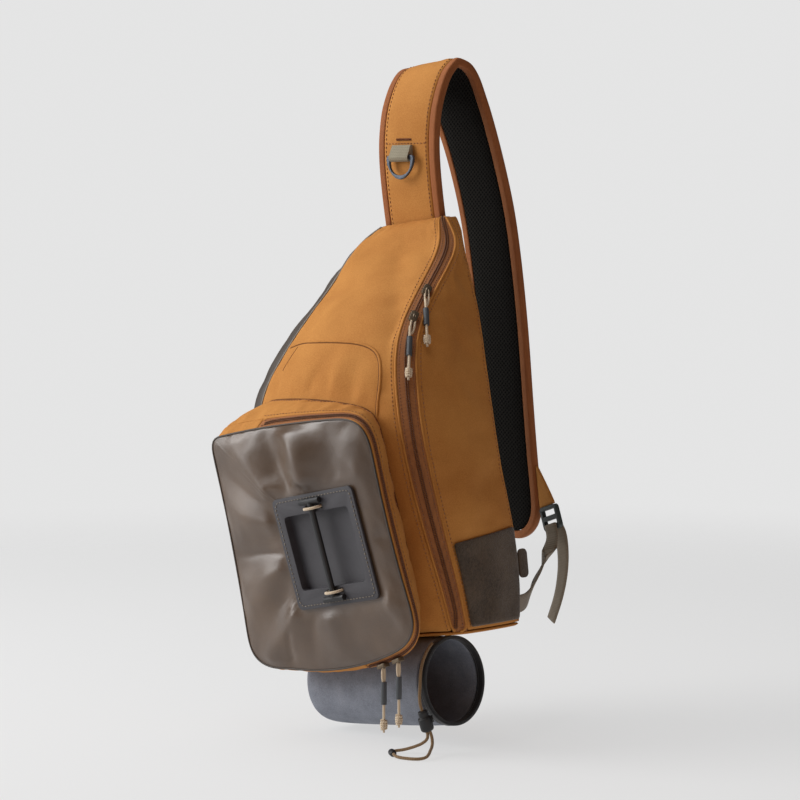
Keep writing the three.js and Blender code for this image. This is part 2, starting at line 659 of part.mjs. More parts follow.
function dockPlate() {
  const flange = plate(roundedRect(DOCK_SIZE, DOCK_SIZE, DOCK_CORNER), DOCK_FLANGE, -DOCK_FLANGE);
  const [width, height] = [DOCK_TRAY_WIDTH, DOCK_TRAY_HEIGHT];
  const outerTray = roundedRect(width + 2 * TRAY_SKIN, height + 2 * TRAY_SKIN, TRAY_CORNER + 1);
  const body = plate(outerTray, DOCK_TRAY_DEPTH, -DOCK_FLANGE / 5);
  const hollow = plate(roundedRect(width, height, TRAY_CORNER), DOCK_TRAY_DEPTH, -DOCK_FLANGE - 1);
  let solid = toManifold(flange).add(toManifold(body)).subtract(toManifold(hollow));
  for (const x of [-CORD_SLOT_X, CORD_SLOT_X]) {
    for (const z of [-CORD_SLOT_Z, CORD_SLOT_Z]) {
      const slot = new THREE.BoxGeometry(CORD_SLOT_SIZE, 4 * DOCK_FLANGE, CORD_SLOT_SIZE);
      slot.translate(x, 0, z);
      solid = solid.subtract(toManifold(slot));
    }
  }
  return fromManifold(solid);
}

const barY = -DOCK_FLANGE - SEAM_GAP - BAR_RADIUS;

function dockBar() {
  const post = new THREE.CylinderGeometry(BAR_RADIUS, BAR_RADIUS, 2 * BAR_REACH, BAR_SIDES);
  post.rotateX(Math.PI / 2);
  let solid = toManifold(post);
  for (const z of [-BAR_REACH, BAR_REACH]) {
    const cross = new THREE.CylinderGeometry(BAR_RADIUS, BAR_RADIUS, BAR_CROSS, BAR_SIDES);
    cross.rotateZ(Math.PI / 2);
    cross.translate(0, 0, z);
    solid = solid.add(toManifold(cross));
  }
  return fromManifold(solid).translate(0, barY, 0);
}

function circleShape(radius, sides) {
  const points = Array.from({ length: sides }, (_, i) => {
    const turn = (2 * Math.PI * i) / sides;
    return new Vector2(radius * Math.cos(turn), radius * Math.sin(turn));
  });
  return new Shape(points);
}

// Round cord along a smooth route
function cordAlong(points, radius, steps) {
  const extrudePath = new THREE.CatmullRomCurve3(points, false, 'centripetal');
  const options = { steps, extrudePath, bevelEnabled: false };
  return new THREE.ExtrudeGeometry(circleShape(radius, CORD_SIDES), options);
}

function dockCord(z) {
  const over = barY - BAR_RADIUS - SEAM_GAP - CORD_RADIUS;
  const route = [
    new Vector3(-CORD_SLOT_X, -0.6, z),
    new Vector3(-CORD_SLOT_X, barY, z),
    new Vector3(-CORD_SLOT_X / 2, over, z),
    new Vector3(0, over - 0.6, z),
    new Vector3(CORD_SLOT_X / 2, over, z),
    new Vector3(CORD_SLOT_X, barY, z),
    new Vector3(CORD_SLOT_X, -0.6, z),
  ];
  return cordAlong(route, CORD_RADIUS, 10);
}

add(dock, 'dock_plate', dockPlate(), MOULDED);
add(dock, 'dock_bar', dockBar(), HEM_CLOTH);
add(dock, 'dock_cord_top', dockCord(CORD_SLOT_Z), CORD_PALE);
add(dock, 'dock_cord_bottom', dockCord(-CORD_SLOT_Z), CORD_PALE);

// Shoulder strap: a place on it is given by the way along its route, across it and out of its inner face
const strapPlaces = STRAP_ROUTE.map((row) => new Vector3(row.x, row.y, row.z));
const strapCurve = new THREE.CatmullRomCurve3(strapPlaces, false, 'centripetal');
strapCurve.arcLengthDivisions = 1000;
const strapLength = strapCurve.getLength();
const strapTurns = STRAP_ROUTE.map((row, i) => ({ ...row, share: i / (STRAP_ROUTE.length - 1) }));

function strapFrame(way) {
  const share = strapCurve.getUtoTmapping(way / strapLength);
  const ahead = strapCurve.getTangent(share);
  const roll = degToRad(along(strapTurns, 'share', 'roll', share));
  const yaw = degToRad(along(strapTurns, 'share', 'yaw', share));
  const across = new Vector3(Math.cos(yaw) * Math.cos(roll), Math.sin(yaw) * Math.cos(roll), Math.sin(roll));
  across.addScaledVector(ahead, -across.dot(ahead)).normalize();
  const out = new Vector3().crossVectors(across, ahead);
  return { centre: strapCurve.getPoint(share), ahead, across, out };
}

function strapPoint(way, side, lift) {
  const held = clamp(way, 0, strapLength);
  const frame = strapFrame(held);
  return frame.centre.addScaledVector(frame.ahead, way - held)
    .addScaledVector(frame.across, side).addScaledVector(frame.out, lift);
}

// Half width of a stretch with a half-round lower end of the given radius
function roundEnd(way, radius) {
  const into = way - (strapLength - STRAP_HALF_WIDTH);
  return into <= 0 ? radius : Math.sqrt(Math.max(radius * radius - into * into, 0));
}

const strapInnerHalf = STRAP_HALF_WIDTH - STRAP_BINDING_WIDTH - 2 * SEAM_GAP;
const strapStraight = strapLength - STRAP_HALF_WIDTH;
const straightWays = [0];
while (straightWays.at(-1) < strapStraight) {
  const way = straightWays.at(-1);
  const step = way > STRAP_ARCH.from && way < STRAP_ARCH.to ? STRAP_ARCH_STEP : STRAP_STEP;
  straightWays.push(way + 1.5 * step > strapStraight ? strapStraight : way + step);
}
const endWays = [0.35, 0.65, 0.87, 0.98].map((t) => strapStraight + t * strapInnerHalf);
const bodyWays = [...straightWays, ...endWays];

const strapMeshLoops = bodyWays.map((way) => {
  const half = roundEnd(way, strapInnerHalf);
  return [[-half, 0], [half, 0], [half, STRAP_MESH_THICKNESS], [-half, STRAP_MESH_THICKNESS]]
    .map(([side, lift]) => strapPoint(way, side, lift));
});
const shellBottom = STRAP_MESH_THICKNESS + SEAM_GAP;
const strapShellLoops = bodyWays.map((way) => {
  const half = roundEnd(way, strapInnerHalf);
  const section = [
    [-half, STRAP_EDGE_THICKNESS], [-half * 0.5, STRAP_THICKNESS], [half * 0.5, STRAP_THICKNESS],
    [half, STRAP_EDGE_THICKNESS], [half, shellBottom], [-half, shellBottom],
  ];
  return section.map(([side, lift]) => strapPoint(way, side, lift));
});
add(backpack, 'strap_mesh', loft(strapMeshLoops), MESH_CLOTH);
add(backpack, 'strap_shell', loft(strapShellLoops), CANVAS);

// Binding tape folded over both edges and round the lower end
const bindingOutline = [
  ...straightWays.map((way) => ({ way, side: -1, ahead: 0 })),
  ...Array.from({ length: BINDING_END_STEPS - 1 }, (_, i) => {
    const turn = (Math.PI * (i + 1)) / BINDING_END_STEPS;
    return { way: strapStraight, side: -Math.cos(turn), ahead: Math.sin(turn) };
  }),
  ...straightWays.slice().reverse().map((way) => ({ way, side: 1, ahead: 0 })),
];
const bindingLoops = bindingOutline.map(({ way, side, ahead }) => {
  const [wide, narrow] = [STRAP_HALF_WIDTH, STRAP_HALF_WIDTH - STRAP_BINDING_WIDTH];
  const section = [
    [narrow, BINDING_LIFT], [wide - BINDING_ROUND, BINDING_LIFT], [wide, STRAP_EDGE_THICKNESS / 2],
    [wide - BINDING_ROUND, STRAP_EDGE_THICKNESS], [narrow, STRAP_EDGE_THICKNESS],
  ];
  return section.map(([reach, lift]) => strapPoint(way + ahead * reach, side * reach, lift));
});
add(backpack, 'strap_binding', loft(bindingLoops), BINDING);

// Band of webbing along a route, with the direction of its width at each row
function webbing(route) {
  const curve = new THREE.CatmullRomCurve3(route.map((row) => row.at), false, 'centripetal');
  const last = route.length - 1;
  const steps = 3 * last;
  return loft(Array.from({ length: steps + 1 }, (_, i) => {
    const share = i / steps;
    const k = Math.min(Math.floor(share * last), last - 1);
    const ahead = curve.getTangent(share);
    const across = route[k].across.clone().lerp(route[k + 1].across, share * last - k);
    across.addScaledVector(ahead, -across.dot(ahead)).normalize();
    const out = new Vector3().crossVectors(across, ahead);
    const section = [[-1, -1], [1, -1], [1, 1], [-1, 1]];
    return section.map(([side, lift]) => curve.getPoint(share)
      .addScaledVector(across, (side * WEBBING_WIDTH) / 2)
      .addScaledVector(out, (lift * WEBBING_THICKNESS) / 2));
  }));
}

// Wing on the strap's lower right edge, the ladder lock that it holds and the webbing
const wingWay = strapLength - WING_BEFORE_END;

// Place on the wing: from its tip down to its lower edge, and from the strap's edge outwards
function wingPoint(down, out, lift) {
  const reach = out * lerp(WING_TIP, WING_REACH, down);
  const way = wingWay + down * (WING_LENGTH - WING_SKEW * out);
  return strapPoint(way, STRAP_HALF_WIDTH + SEAM_GAP + reach, WING_LIFT + lift);
}

const wingLoops = [0, 0.35, 0.7, 1].map((down) => {
  const corners = [[0, 0], [1, 0], [1, WING_THICKNESS], [0, WING_THICKNESS]];
  return corners.map(([out, lift]) => wingPoint(down, out, lift));
});
add(backpack, 'wing_tab', loft(wingLoops), CANVAS);

// Group whose Z axis follows up and whose -Y axis follows out
function facing(origin, up, out) {
  const group = new Group();
  const z = up.clone().normalize();
  const y = out.clone().negate().addScaledVector(z, out.dot(z)).normalize();
  const x = new Vector3().crossVectors(y, z);
  group.quaternion.setFromRotationMatrix(new THREE.Matrix4().makeBasis(x, y, z));
  group.position.copy(origin);
  return group;
}

const wingFrame = strapFrame(wingWay + WING_LENGTH);
const wingEdge = wingPoint(1, 0, 0).sub(wingPoint(1, 1, 0)).normalize();
const wingMiddle = wingPoint(1, WING_HOLD, WING_THICKNESS / 2);
const lockUp = new Vector3().crossVectors(wingFrame.out, wingEdge).normalize();
const lockCentre = wingMiddle.clone().addScaledVector(lockUp, -SEAM_GAP - LOCK_HEIGHT / 2);
const bagMatrix = new THREE.Matrix4().makeRotationY(-BAG_ROLL).setPosition(BAG_TOP);
const ladder = facing(lockCentre, lockUp, wingFrame.out);
backpack.add(ladder);

function ladderLock() {
  const frame = roundedRect(LOCK_WIDTH, LOCK_HEIGHT, LOCK_CORNER);
  for (const z of [-LOCK_SLOT_Z, LOCK_SLOT_Z]) {
    const slot = new THREE.Path();
    const half = LOCK_SLOT / 2;
    slot.moveTo(-half, z - LOCK_SLOT_HALF);
    slot.lineTo(half, z - LOCK_SLOT_HALF);
    slot.lineTo(half, z + LOCK_SLOT_HALF);
    slot.lineTo(-half, z + LOCK_SLOT_HALF);
    slot.closePath();
    frame.holes.push(slot);
  }
  return plate(frame, LOCK_THICKNESS, -LOCK_THICKNESS / 2);
}

add(ladder, 'ladder_lock', ladderLock(), BUCKLE);
ladder.updateMatrix();
const onLock = (x, y, z) => new Vector3(x, y, z).applyMatrix4(ladder.matrix);
const lockAcross = new Vector3(1, 0, 0).transformDirection(ladder.matrix);
const lockEdge = -LOCK_THICKNESS / 2 - SEAM_GAP - WEBBING_THICKNESS / 2;
const mainStart = onLock(0, -lockEdge, -WEBBING_START);
const mainEnd = WEBBING_ANCHOR.clone().applyMatrix4(bagMatrix);
const mainSag = (share, y, z) => mainStart.clone().lerp(mainEnd, share).add(new Vector3(0, y, z));
const mainRoute = [
  { at: mainStart, across: lockAcross },
  { at: onLock(0, -lockEdge + 1, -20), across: lockAcross },
  { at: mainSag(0.5, 6, -12), across: new Vector3(0.7, 0, 0.7) },
  { at: mainSag(0.8, 6, -12), across: new Vector3(0.2, 0, 1) },
  { at: mainEnd, across: new Vector3(0.12, 0, 1) },
];
const tailStart = onLock(0, lockEdge, -WEBBING_START);
const tailHang = (x, y, z) => tailStart.clone().add(new Vector3(x, y, z));
const tailRoute = [
  { at: tailStart, across: lockAcross },
  { at: onLock(0, lockEdge - 3, -18), across: lockAcross },
  { at: tailHang(3, 9, -42), across: new Vector3(-0.95, 0.3, 0) },
  { at: tailHang(-3, 10, -74), across: new Vector3(-0.9, 0.4, 0) },
  { at: tailHang(-12, 8, -102), across: new Vector3(-0.9, 0.4, -0.1) },
];
add(backpack, 'strap_webbing', webbing(mainRoute), WEBBING);
add(backpack, 'webbing_tail', webbing(tailRoute), WEBBING);

// Webbing tab on the strap's front with the ring that swings in its fold
const tabFrame = strapFrame(RING_WAY);
const tabOrigin = strapPoint(RING_WAY, RING_SIDE, STRAP_THICKNESS + SEAM_GAP);
const tab = facing(tabOrigin, tabFrame.ahead, tabFrame.out);
backpack.add(tab);
const barOut = TAB_BORE + TAB_CLOTH;

function ringTab() {
  const fold = new Shape();
  fold.moveTo(0, TAB_HEIGHT);
  fold.lineTo(-2 * TAB_CLOTH, TAB_HEIGHT);
  fold.lineTo(-2 * barOut, 0);
  fold.absarc(-barOut, 0, barOut, Math.PI, 2 * Math.PI);
  fold.closePath();
  const bore = new THREE.Path();
  bore.absarc(-barOut, 0, TAB_BORE, 0, 2 * Math.PI, true);
  fold.holes.push(bore);
  const options = { depth: TAB_WIDTH, bevelEnabled: false, curveSegments: 6 };
  const geometry = new THREE.ExtrudeGeometry(fold, options);
  geometry.translate(0, 0, -TAB_WIDTH / 2);
  const [x, y, z] = [new Vector3(1, 0, 0), new Vector3(0, 1, 0), new Vector3(0, 0, 1)];
  return geometry.applyMatrix4(new THREE.Matrix4().makeBasis(y, z, x));
}

function deltaOutline(path, inset) {
  const [half, top, low] = [RING_HALF_WIDTH - inset, RING_WIRE / 2 - inset, -RING_DROP + inset];
  const bend = RING_BEND;
  path.moveTo(half - bend, top);
  path.lineTo(-half + bend, top);
  path.quadraticCurveTo(-half, top, -half, top - bend);
  path.bezierCurveTo(-half, top - 3 * bend, -half * 0.5, low, 0, low);
  path.bezierCurveTo(half * 0.5, low, half, top - 3 * bend, half, top - bend);
  path.quadraticCurveTo(half, top, half - bend, top);
  return path;
}

function deltaRing() {
  const shape = deltaOutline(new Shape(), 0);
  shape.holes.push(deltaOutline(new THREE.Path(), RING_WIRE));
  return plate(shape, RING_THICKNESS, -RING_THICKNESS / 2, 5);
}

add(tab, 'ring_tab', ringTab(), TAB_WEB);
tab.updateMatrix();
const ringCentre = new Vector3(0, -barOut, 0).applyMatrix4(tab.matrix);
const plumb = new Vector3(0, 0, 1).addScaledVector(tabFrame.across, -tabFrame.across.z);
const ring = facing(ringCentre, plumb, new Vector3().crossVectors(tabFrame.across, plumb));
backpack.add(ring);
add(ring, 'd_ring', deltaRing(), RING_METAL);

// Felt pull tab at the back edge of the felt patch
const feltTab = new Group();
feltTab.position.set(FELT_TAB.x, FELT_TAB.y, -FELT_TAB.depth);
feltTab.rotation.z = Math.PI / 2;
bag.add(feltTab);
const feltTabShape = roundedRect(FELT_TAB.reach, FELT_TAB.length, 5);
add(feltTab, 'felt_tab', plate(feltTabShape, FELT_THICKNESS, -FELT_THICKNESS, 2), FELT);

// Sleeve under the base: a soft cup on its side, with a hem round its mouth
const sleeveDepth = baseTop + BASE_THICKNESS + 2 * SEAM_GAP + SLEEVE_RADIUS;
const sleeve = new Group();
sleeve.position.set(SLEEVE_MOUTH_X - SLEEVE_LENGTH, SLEEVE_Y, -sleeveDepth);
sleeve.rotation.z = -Math.PI / 2;
bag.add(sleeve);

function sleeveCup() {
  const dome = [[0.6, 1.5], [0.88, 7], [1, 18]];
  const inner = SLEEVE_RADIUS - SLEEVE_WALL;
  const profile = [
    new Vector2(0, 0),
    ...dome.map(([share, way]) => new Vector2(SLEEVE_RADIUS * share, way)),
    new Vector2(SLEEVE_RADIUS, SLEEVE_LENGTH),
    new Vector2(inner, SLEEVE_LENGTH),
    ...dome.slice().reverse().map(([share, way]) => new Vector2(inner * share, way + SLEEVE_WALL)),
    new Vector2(0, SLEEVE_WALL),
  ];
  return new THREE.LatheGeometry(profile, SLEEVE_SIDES);
}

const hemOuter = SLEEVE_RADIUS + HEM_RISE;
const hemStart = SLEEVE_LENGTH + SEAM_GAP;

function sleeveHem() {
  const corners = [[-HEM_DEPTH, 0], [0, 0], [0, HEM_WIDTH], [-HEM_DEPTH, HEM_WIDTH], [-HEM_DEPTH, 0]];
  const profile = corners.map(([out, way]) => new Vector2(hemOuter + out, hemStart + way));
  return new THREE.LatheGeometry(profile, SLEEVE_SIDES);
}

add(sleeve, 'bottle_sleeve', sleeveCup(), SLEEVE_CLOTH);
add(sleeve, 'sleeve_hem', sleeveHem(), HEM_CLOTH);

// Elastic cord round the front of the hem, with its lock, and the free loop that lies below
const cordX = SLEEVE_MOUTH_X + SEAM_GAP + HEM_WIDTH / 2;

function roundHem(angle, radius) {
  const y = SLEEVE_Y - radius * Math.cos(angle);
  return new Vector3(cordX, y, -sleeveDepth + radius * Math.sin(angle)).applyMatrix4(bagMatrix);
}

const cordRing = hemOuter + SEAM_GAP + CORD_RADIUS;
const cordRoute = Array.from({ length: CORD_POINTS + 1 }, (_, i) => {
  const share = i / CORD_POINTS;
  const angle = lerp(CORD_FIRST_ANGLE, CORD_LAST_ANGLE, share);
  return roundHem(angle, cordRing + CORD_STAND_OFF * smoothstep(share, 0.6, 1));
});
add(backpack, 'bungee_cord', cordAlong(cordRoute, CORD_RADIUS, 20), CORD_TAN);

const cordEnd = cordRoute.at(-1);
const cordWay = cordEnd.clone().sub(cordRoute.at(-2)).normalize();
const cordLock = facing(
  cordEnd.clone().addScaledVector(cordWay, SEAM_GAP + CORD_LOCK_LENGTH / 2),
  cordWay.clone().negate(),
  new Vector3(0, -1, 0),
);
backpack.add(cordLock);

function lockBody() {
  const profile = [[0, -1], [0.8, -1], [1, -0.8], [1, 0.3], [0.72, 0.4], [0.72, 0.9], [0.6, 1], [0, 1]];
  const geometry = new THREE.LatheGeometry(
    profile.map(([out, way]) => new Vector2(out * CORD_LOCK_RADIUS, (way * CORD_LOCK_LENGTH) / 2)),
    12,
  );
  return geometry.rotateX(Math.PI / 2);
}

add(cordLock, 'cord_lock', lockBody(), HEM_CLOTH);
cordLock.updateMatrix();
const lockFoot = -CORD_LOCK_LENGTH / 2;
const underLock = (side, drop) => new Vector3(side, 0, lockFoot - drop).applyMatrix4(cordLock.matrix);
const loopLeft = [underLock(-LOOP_APART, LOOP_EXIT), underLock(-LOOP_APART, LOOP_STRAIGHT), ...LOOP_LEFT];
const loopRight = [...LOOP_RIGHT, underLock(LOOP_APART, LOOP_STRAIGHT), underLock(LOOP_APART, LOOP_EXIT)];
const clipWay = CLIP_END.clone().sub(CLIP_START).normalize();
const beforeClip = [3, LOOP_EXIT].map((away) => CLIP_START.clone().addScaledVector(clipWay, -away));
const afterClip = [LOOP_EXIT, 3].map((away) => CLIP_END.clone().addScaledVector(clipWay, away));
add(backpack, 'bungee_loop_left', cordAlong([...loopLeft, ...beforeClip], CORD_RADIUS, 12), CORD_TAN);
add(backpack, 'bungee_loop_right', cordAlong([...afterClip, ...loopRight], CORD_RADIUS, 16), CORD_TAN);

function endClip() {
  const length = CLIP_START.distanceTo(CLIP_END);
  const taper = 2;
  const profile = [
    [0, 0], [CLIP_END_RADIUS, 0], [CLIP_RADIUS, taper],
    [CLIP_RADIUS, length - taper], [CLIP_END_RADIUS, length], [0, length],
  ];
  const geometry = new THREE.LatheGeometry(profile.map(([out, way]) => new Vector2(out, way)), 10);
  return geometry.rotateX(Math.PI / 2);
}

const clip = facing(CLIP_START, clipWay, new Vector3(0, 0, 1));
backpack.add(clip);
add(clip, 'cord_clip', endClip(), HEM_CLOTH);

// Zip sliders and their hanging pulls: a cord with a grip round its middle

function slider(name, origin, up, out) {
  const group = facing(origin, up, out);
  backpack.add(group);
  const outline = roundedRect(SLIDER_WIDTH, SLIDER_LENGTH, SLIDER_CORNER);
  const body = plate(outline, SLIDER_THICKNESS, -SLIDER_THICKNESS, 2);
  add(group, name, body, SLIDER_METAL);
}

function zipPull(name, top, bottom) {
  const way = bottom.clone().sub(top);
  const side = new Vector3(0, -1, 0);
  const group = facing(top, way.clone().negate(), side);
  backpack.add(group);
  const length = way.length();
  const route = [new Vector3(0, 0, 0), new Vector3(0, 0, -length / 2), new Vector3(0, 0, -length)];
  add(group, `${name}_cord`, cordAlong(route, PULL_CORD_RADIUS, 4), CORD_PALE);
  const bore = PULL_CORD_RADIUS + SEAM_GAP;
  const [first, last] = GRIP_SPAN.map((share) => share * length);
  const corners = [[bore, first], [GRIP_RADIUS, first], [GRIP_RADIUS, last], [bore, last], [bore, first]];
  const grip = new THREE.LatheGeometry(corners.map(([out, down]) => new Vector2(out, down)), 10);
  add(group, `${name}_grip`, grip.rotateX(-Math.PI / 2), GRIP);
}

// Place on the main zip's outer face or past its rear edge on the side, lifted off it
function mainZipPoint(depth, across, lift) {
  const s = sectionAt(depth);
  const [from, to, crown] = across <= 1 ? [s.zip, s.side, s.crowns[1]] : [s.side, s.right, s.crowns[2]];
  const share = across <= 1 ? across : ((across - 1) * s.zip.distanceTo(s.side)) / from.distanceTo(to);
  const p = bowed(from, to, crown, share);
  const way = to.clone().sub(from).normalize();
  return new Vector3(p.x + way.y * lift, p.y - way.x * lift, -depth).applyMatrix4(bagMatrix);
}

for (const { name, depth, topDepth, topAcross, lowDepth, lowAcross } of MAIN_PULLS) {
  const out = mainZipPoint(depth, 0.5, 10).sub(mainZipPoint(depth, 0.5, 0));
  const up = mainZipPoint(depth - 5, 0.5, 0).sub(mainZipPoint(depth + 5, 0.5, 0));
  slider(`${name}_slider`, mainZipPoint(depth, 0.5, 1), up, out);
  const top = mainZipPoint(topDepth, topAcross, PULL_LIFT);
  zipPull(`${name}_pull`, top, mainZipPoint(lowDepth, lowAcross, PULL_LIFT));
}

// Pocket zip's sliders hang at its lower right end
for (const { name, index, share } of POCKET_PULLS) {
  const place = gussetPoint(index, share, false);
  const out = place.clone().sub(gussetPoint(index, share, true));
  out.y = 0;
  const up = gussetPoint(index - 1, share, false).sub(gussetPoint(index + 1, share, false));
  const seat = place.clone().addScaledVector(out.normalize(), SLIDER_SEAT);
  const turned = out.clone().transformDirection(bagMatrix);
  slider(`${name}_slider`, seat.applyMatrix4(bagMatrix), up.transformDirection(bagMatrix), turned);
  const eye = place.clone().applyMatrix4(bagMatrix).addScaledVector(turned, PULL_EYE);
  zipPull(`${name}_pull`, eye, eye.clone().add(new Vector3(0, 0, -PULL_DROP)));
}

export default backpack;
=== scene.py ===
"""Dressed model of a sling backpack: cloth, seams, zips, strap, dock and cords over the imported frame."""

from __future__ import annotations

import logging
import math
from collections.abc import Callable, Iterable, Sequence
from dataclasses import dataclass, field
from enum import Enum
from functools import lru_cache

import bmesh
import bpy
from mathutils import Matrix, Vector, noise
from mathutils.bvhtree import BVHTree

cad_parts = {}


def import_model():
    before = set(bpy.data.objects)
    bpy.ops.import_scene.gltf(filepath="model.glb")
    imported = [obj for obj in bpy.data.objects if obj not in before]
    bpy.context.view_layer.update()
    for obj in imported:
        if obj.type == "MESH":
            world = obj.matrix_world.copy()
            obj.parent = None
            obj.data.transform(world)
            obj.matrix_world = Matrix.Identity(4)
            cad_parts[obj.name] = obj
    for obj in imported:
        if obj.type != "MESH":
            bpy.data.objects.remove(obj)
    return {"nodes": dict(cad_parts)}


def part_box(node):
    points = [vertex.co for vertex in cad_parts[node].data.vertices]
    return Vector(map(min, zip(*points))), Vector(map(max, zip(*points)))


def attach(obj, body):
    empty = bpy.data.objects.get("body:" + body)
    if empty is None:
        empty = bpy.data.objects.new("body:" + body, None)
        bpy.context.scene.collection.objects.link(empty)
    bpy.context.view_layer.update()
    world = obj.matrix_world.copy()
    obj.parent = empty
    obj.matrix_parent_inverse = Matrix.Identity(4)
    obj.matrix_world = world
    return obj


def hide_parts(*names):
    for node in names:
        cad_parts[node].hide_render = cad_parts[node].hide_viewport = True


logging.basicConfig(level=logging.INFO, format="%(message)s")
LOG = logging.getLogger("sling_backpack")

RGB = tuple[float, float, float]
Place = tuple[float, float, float]


def metres(*millimetres: float) -> Vector:
    """A place in metres from its millimetres."""
    return Vector(millimetres) / 1000


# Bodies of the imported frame
BAG = "bag"
RING = "ring"

# Places inside the bag and its pocket, from which their outer faces look away
BAG_CORE = Vector((0.010, -0.060, -0.380))
POCKET_CORE = Vector((0.040, -0.205, -0.455))

# Way that the bag's front faces, and the frame of the dock on its pocket
FRONT = Vector((0.0, -1.0, 0.0))
DOCK_MIDDLE = metres(63.6, -219.6, -454.5)
DOCK_ACROSS = Vector((0.978, -0.013, 0.207))
DOCK_UP = Vector((-0.207, -0.143, 0.968))
DOCK_OUT = Vector((0.018, -0.990, -0.143))


def linear(red: int, green: int, blue: int) -> RGB:
    """Linear colour of an sRGB one.

    Args:
        red: Its red, from 0 to 255.
        green: Its green.
        blue: Its blue.

    Returns:
        The linear colour, from 0 to 1.
    """
    shares = [value / 255 for value in (red, green, blue)]
    return tuple(s / 12.92 if s <= 0.04045 else ((s + 0.055) / 1.055) ** 2.4 for s in shares)


class Value:
    """A number on a shader socket that takes part in Python expressions."""

    def __init__(self, graph: Graph, socket: bpy.types.NodeSocket) -> None:
        """Keeps the socket and the graph that it belongs to."""
        self.graph = graph
        self.socket = socket

    def _math(self, operation: str, *others: Value | float) -> Value:
        """Adds one Math node that starts from this value.

        Args:
            operation: The Math node's operation.
            others: Its further inputs.

        Returns:
            The node's result.
        """
        inputs = dict(enumerate((self, *others)))
        made = self.graph.node("ShaderNodeMath", {"operation": operation}, inputs)
        return Value(self.graph, made.outputs[0])

    def __add__(self, other: Value | float) -> Value:
        """Sum."""
        return self._math("ADD", other)

    __radd__ = __add__

    def __sub__(self, other: Value | float) -> Value:
        """Difference."""
        return self._math("SUBTRACT", other)

    def __rsub__(self, other: float) -> Value:
        """Difference from a number."""
        return self._math("MULTIPLY", -1.0) + other

    def __mul__(self, other: Value | float) -> Value:
        """Product."""
        return self._math("MULTIPLY", other)

    __rmul__ = __mul__

    def sine(self) -> Value:
        """Sine of the value in radians."""
        return self._math("SINE")

    def step(self, low: float, high: float) -> Value:
        """Smooth step from 0 at low to 1 at high.

        Args:
            low: The value where the step starts.
            high: The value where it ends.

        Returns:
            The step's height.
        """
        inputs = {"Value": self, "From Min": low, "From Max": high}
        made = self.graph.node("ShaderNodeMapRange", {"interpolation_type": "SMOOTHSTEP"}, inputs)
        return Value(self.graph, made.outputs[0])


Plug = Value | bpy.types.NodeSocket | float | Sequence[float]


class Graph:
    """One material's nodes, round a Principled shader."""

    def __init__(self, name: str) -> None:
        """Starts a material with its shader and output.

        Args:
            name: The material's name.
        """
        self.material = bpy.data.materials.new(name)
        self.material.use_nodes = True
        self.material.node_tree.nodes.clear()
        self.shader = self.node("ShaderNodeBsdfPrincipled")
        self.node("ShaderNodeOutputMaterial", {}, {"Surface": self.shader.outputs[0]})
        self.coords = self.node("ShaderNodeTexCoord").outputs["Object"]

    def node(self, kind: str, settings: dict | None = None, inputs: dict | None = None) -> bpy.types.Node:
        """Adds a node.

        Args:
            kind: The node's type.
            settings: Its own properties, set first.
            inputs: Values or links of its sockets.

        Returns:
            The new node.
        """
        tree = self.material.node_tree
        made = tree.nodes.new(kind)
        for key, value in (settings or {}).items():
            setattr(made, key, value)
        for key, value in (inputs or {}).items():
            self.plug(made.inputs[key], value)
        return made

    def plug(self, socket: bpy.types.NodeSocket, value: Plug) -> None:
        """Links a socket to a value, or sets it to a number or a colour.

        Args:
            socket: The socket that takes the value.
            value: A value, another socket, a number or a colour.
        """
        if isinstance(value, Value):
            value = value.socket
        if isinstance(value, bpy.types.NodeSocket):
            self.material.node_tree.links.new(value, socket)
        elif socket.type == "RGBA":
            socket.default_value = (*value, 1.0)
        else:
            socket.default_value = value

    def axes(self) -> tuple[Value, Value, Value]:
        """The place's x, y and z in metres."""
        split = self.node("ShaderNodeSeparateXYZ", {}, {0: self.coords})
        return tuple(Value(self, socket) for socket in split.outputs)

    def noise(self, scale: float, detail: float = 2.0, roughness: float = 0.5) -> Value:
        """Soft noise from 0 to 1.

        Args:
            scale: Lumps in a metre.
            detail: Number of finer layers.
            roughness: Weight of the finer layers.

        Returns:
            The noise.
        """
        inputs = {"Vector": self.coords, "Scale": scale, "Detail": detail, "Roughness": roughness}
        return Value(self, self.node("ShaderNodeTexNoise", {}, inputs).outputs[0])

    def blend(self, share: Plug, first: Plug, second: Plug) -> bpy.types.NodeSocket:
        """Mix of two colours.

        Args:
            share: Share of the second colour.
            first: The first colour.
            second: The second colour.

        Returns:
            The mixed colour's socket.
        """
        return self.node("ShaderNodeMix", {"data_type": "RGBA"}, {0: share, 6: first, 7: second}).outputs[2]

    def finish(self, colour: Plug, roughness: Plug, height: Value | None, depth: float,
               **fixed: float | RGB) -> None:
        """Connects the shader.

        Args:
            colour: Base colour.
            roughness: Roughness.
            height: Relief from 0 to 1, if the surface has any.
            depth: What a relief of 1 measures, in metres.
            fixed: Shader sockets that have one value all over, by name with underscores.
        """
        self.plug(self.shader.inputs["Base Color"], colour)
        self.plug(self.shader.inputs["Roughness"], roughness)
        if height is not None:
            bump = self.node("ShaderNodeBump", {}, {"Height": height, "Distance": depth, "Strength": 1.0})
            self.plug(self.shader.inputs["Normal"], bump.outputs[0])
        for key, value in fixed.items():
            self.plug(self.shader.inputs[key.replace("_", " ")], value)


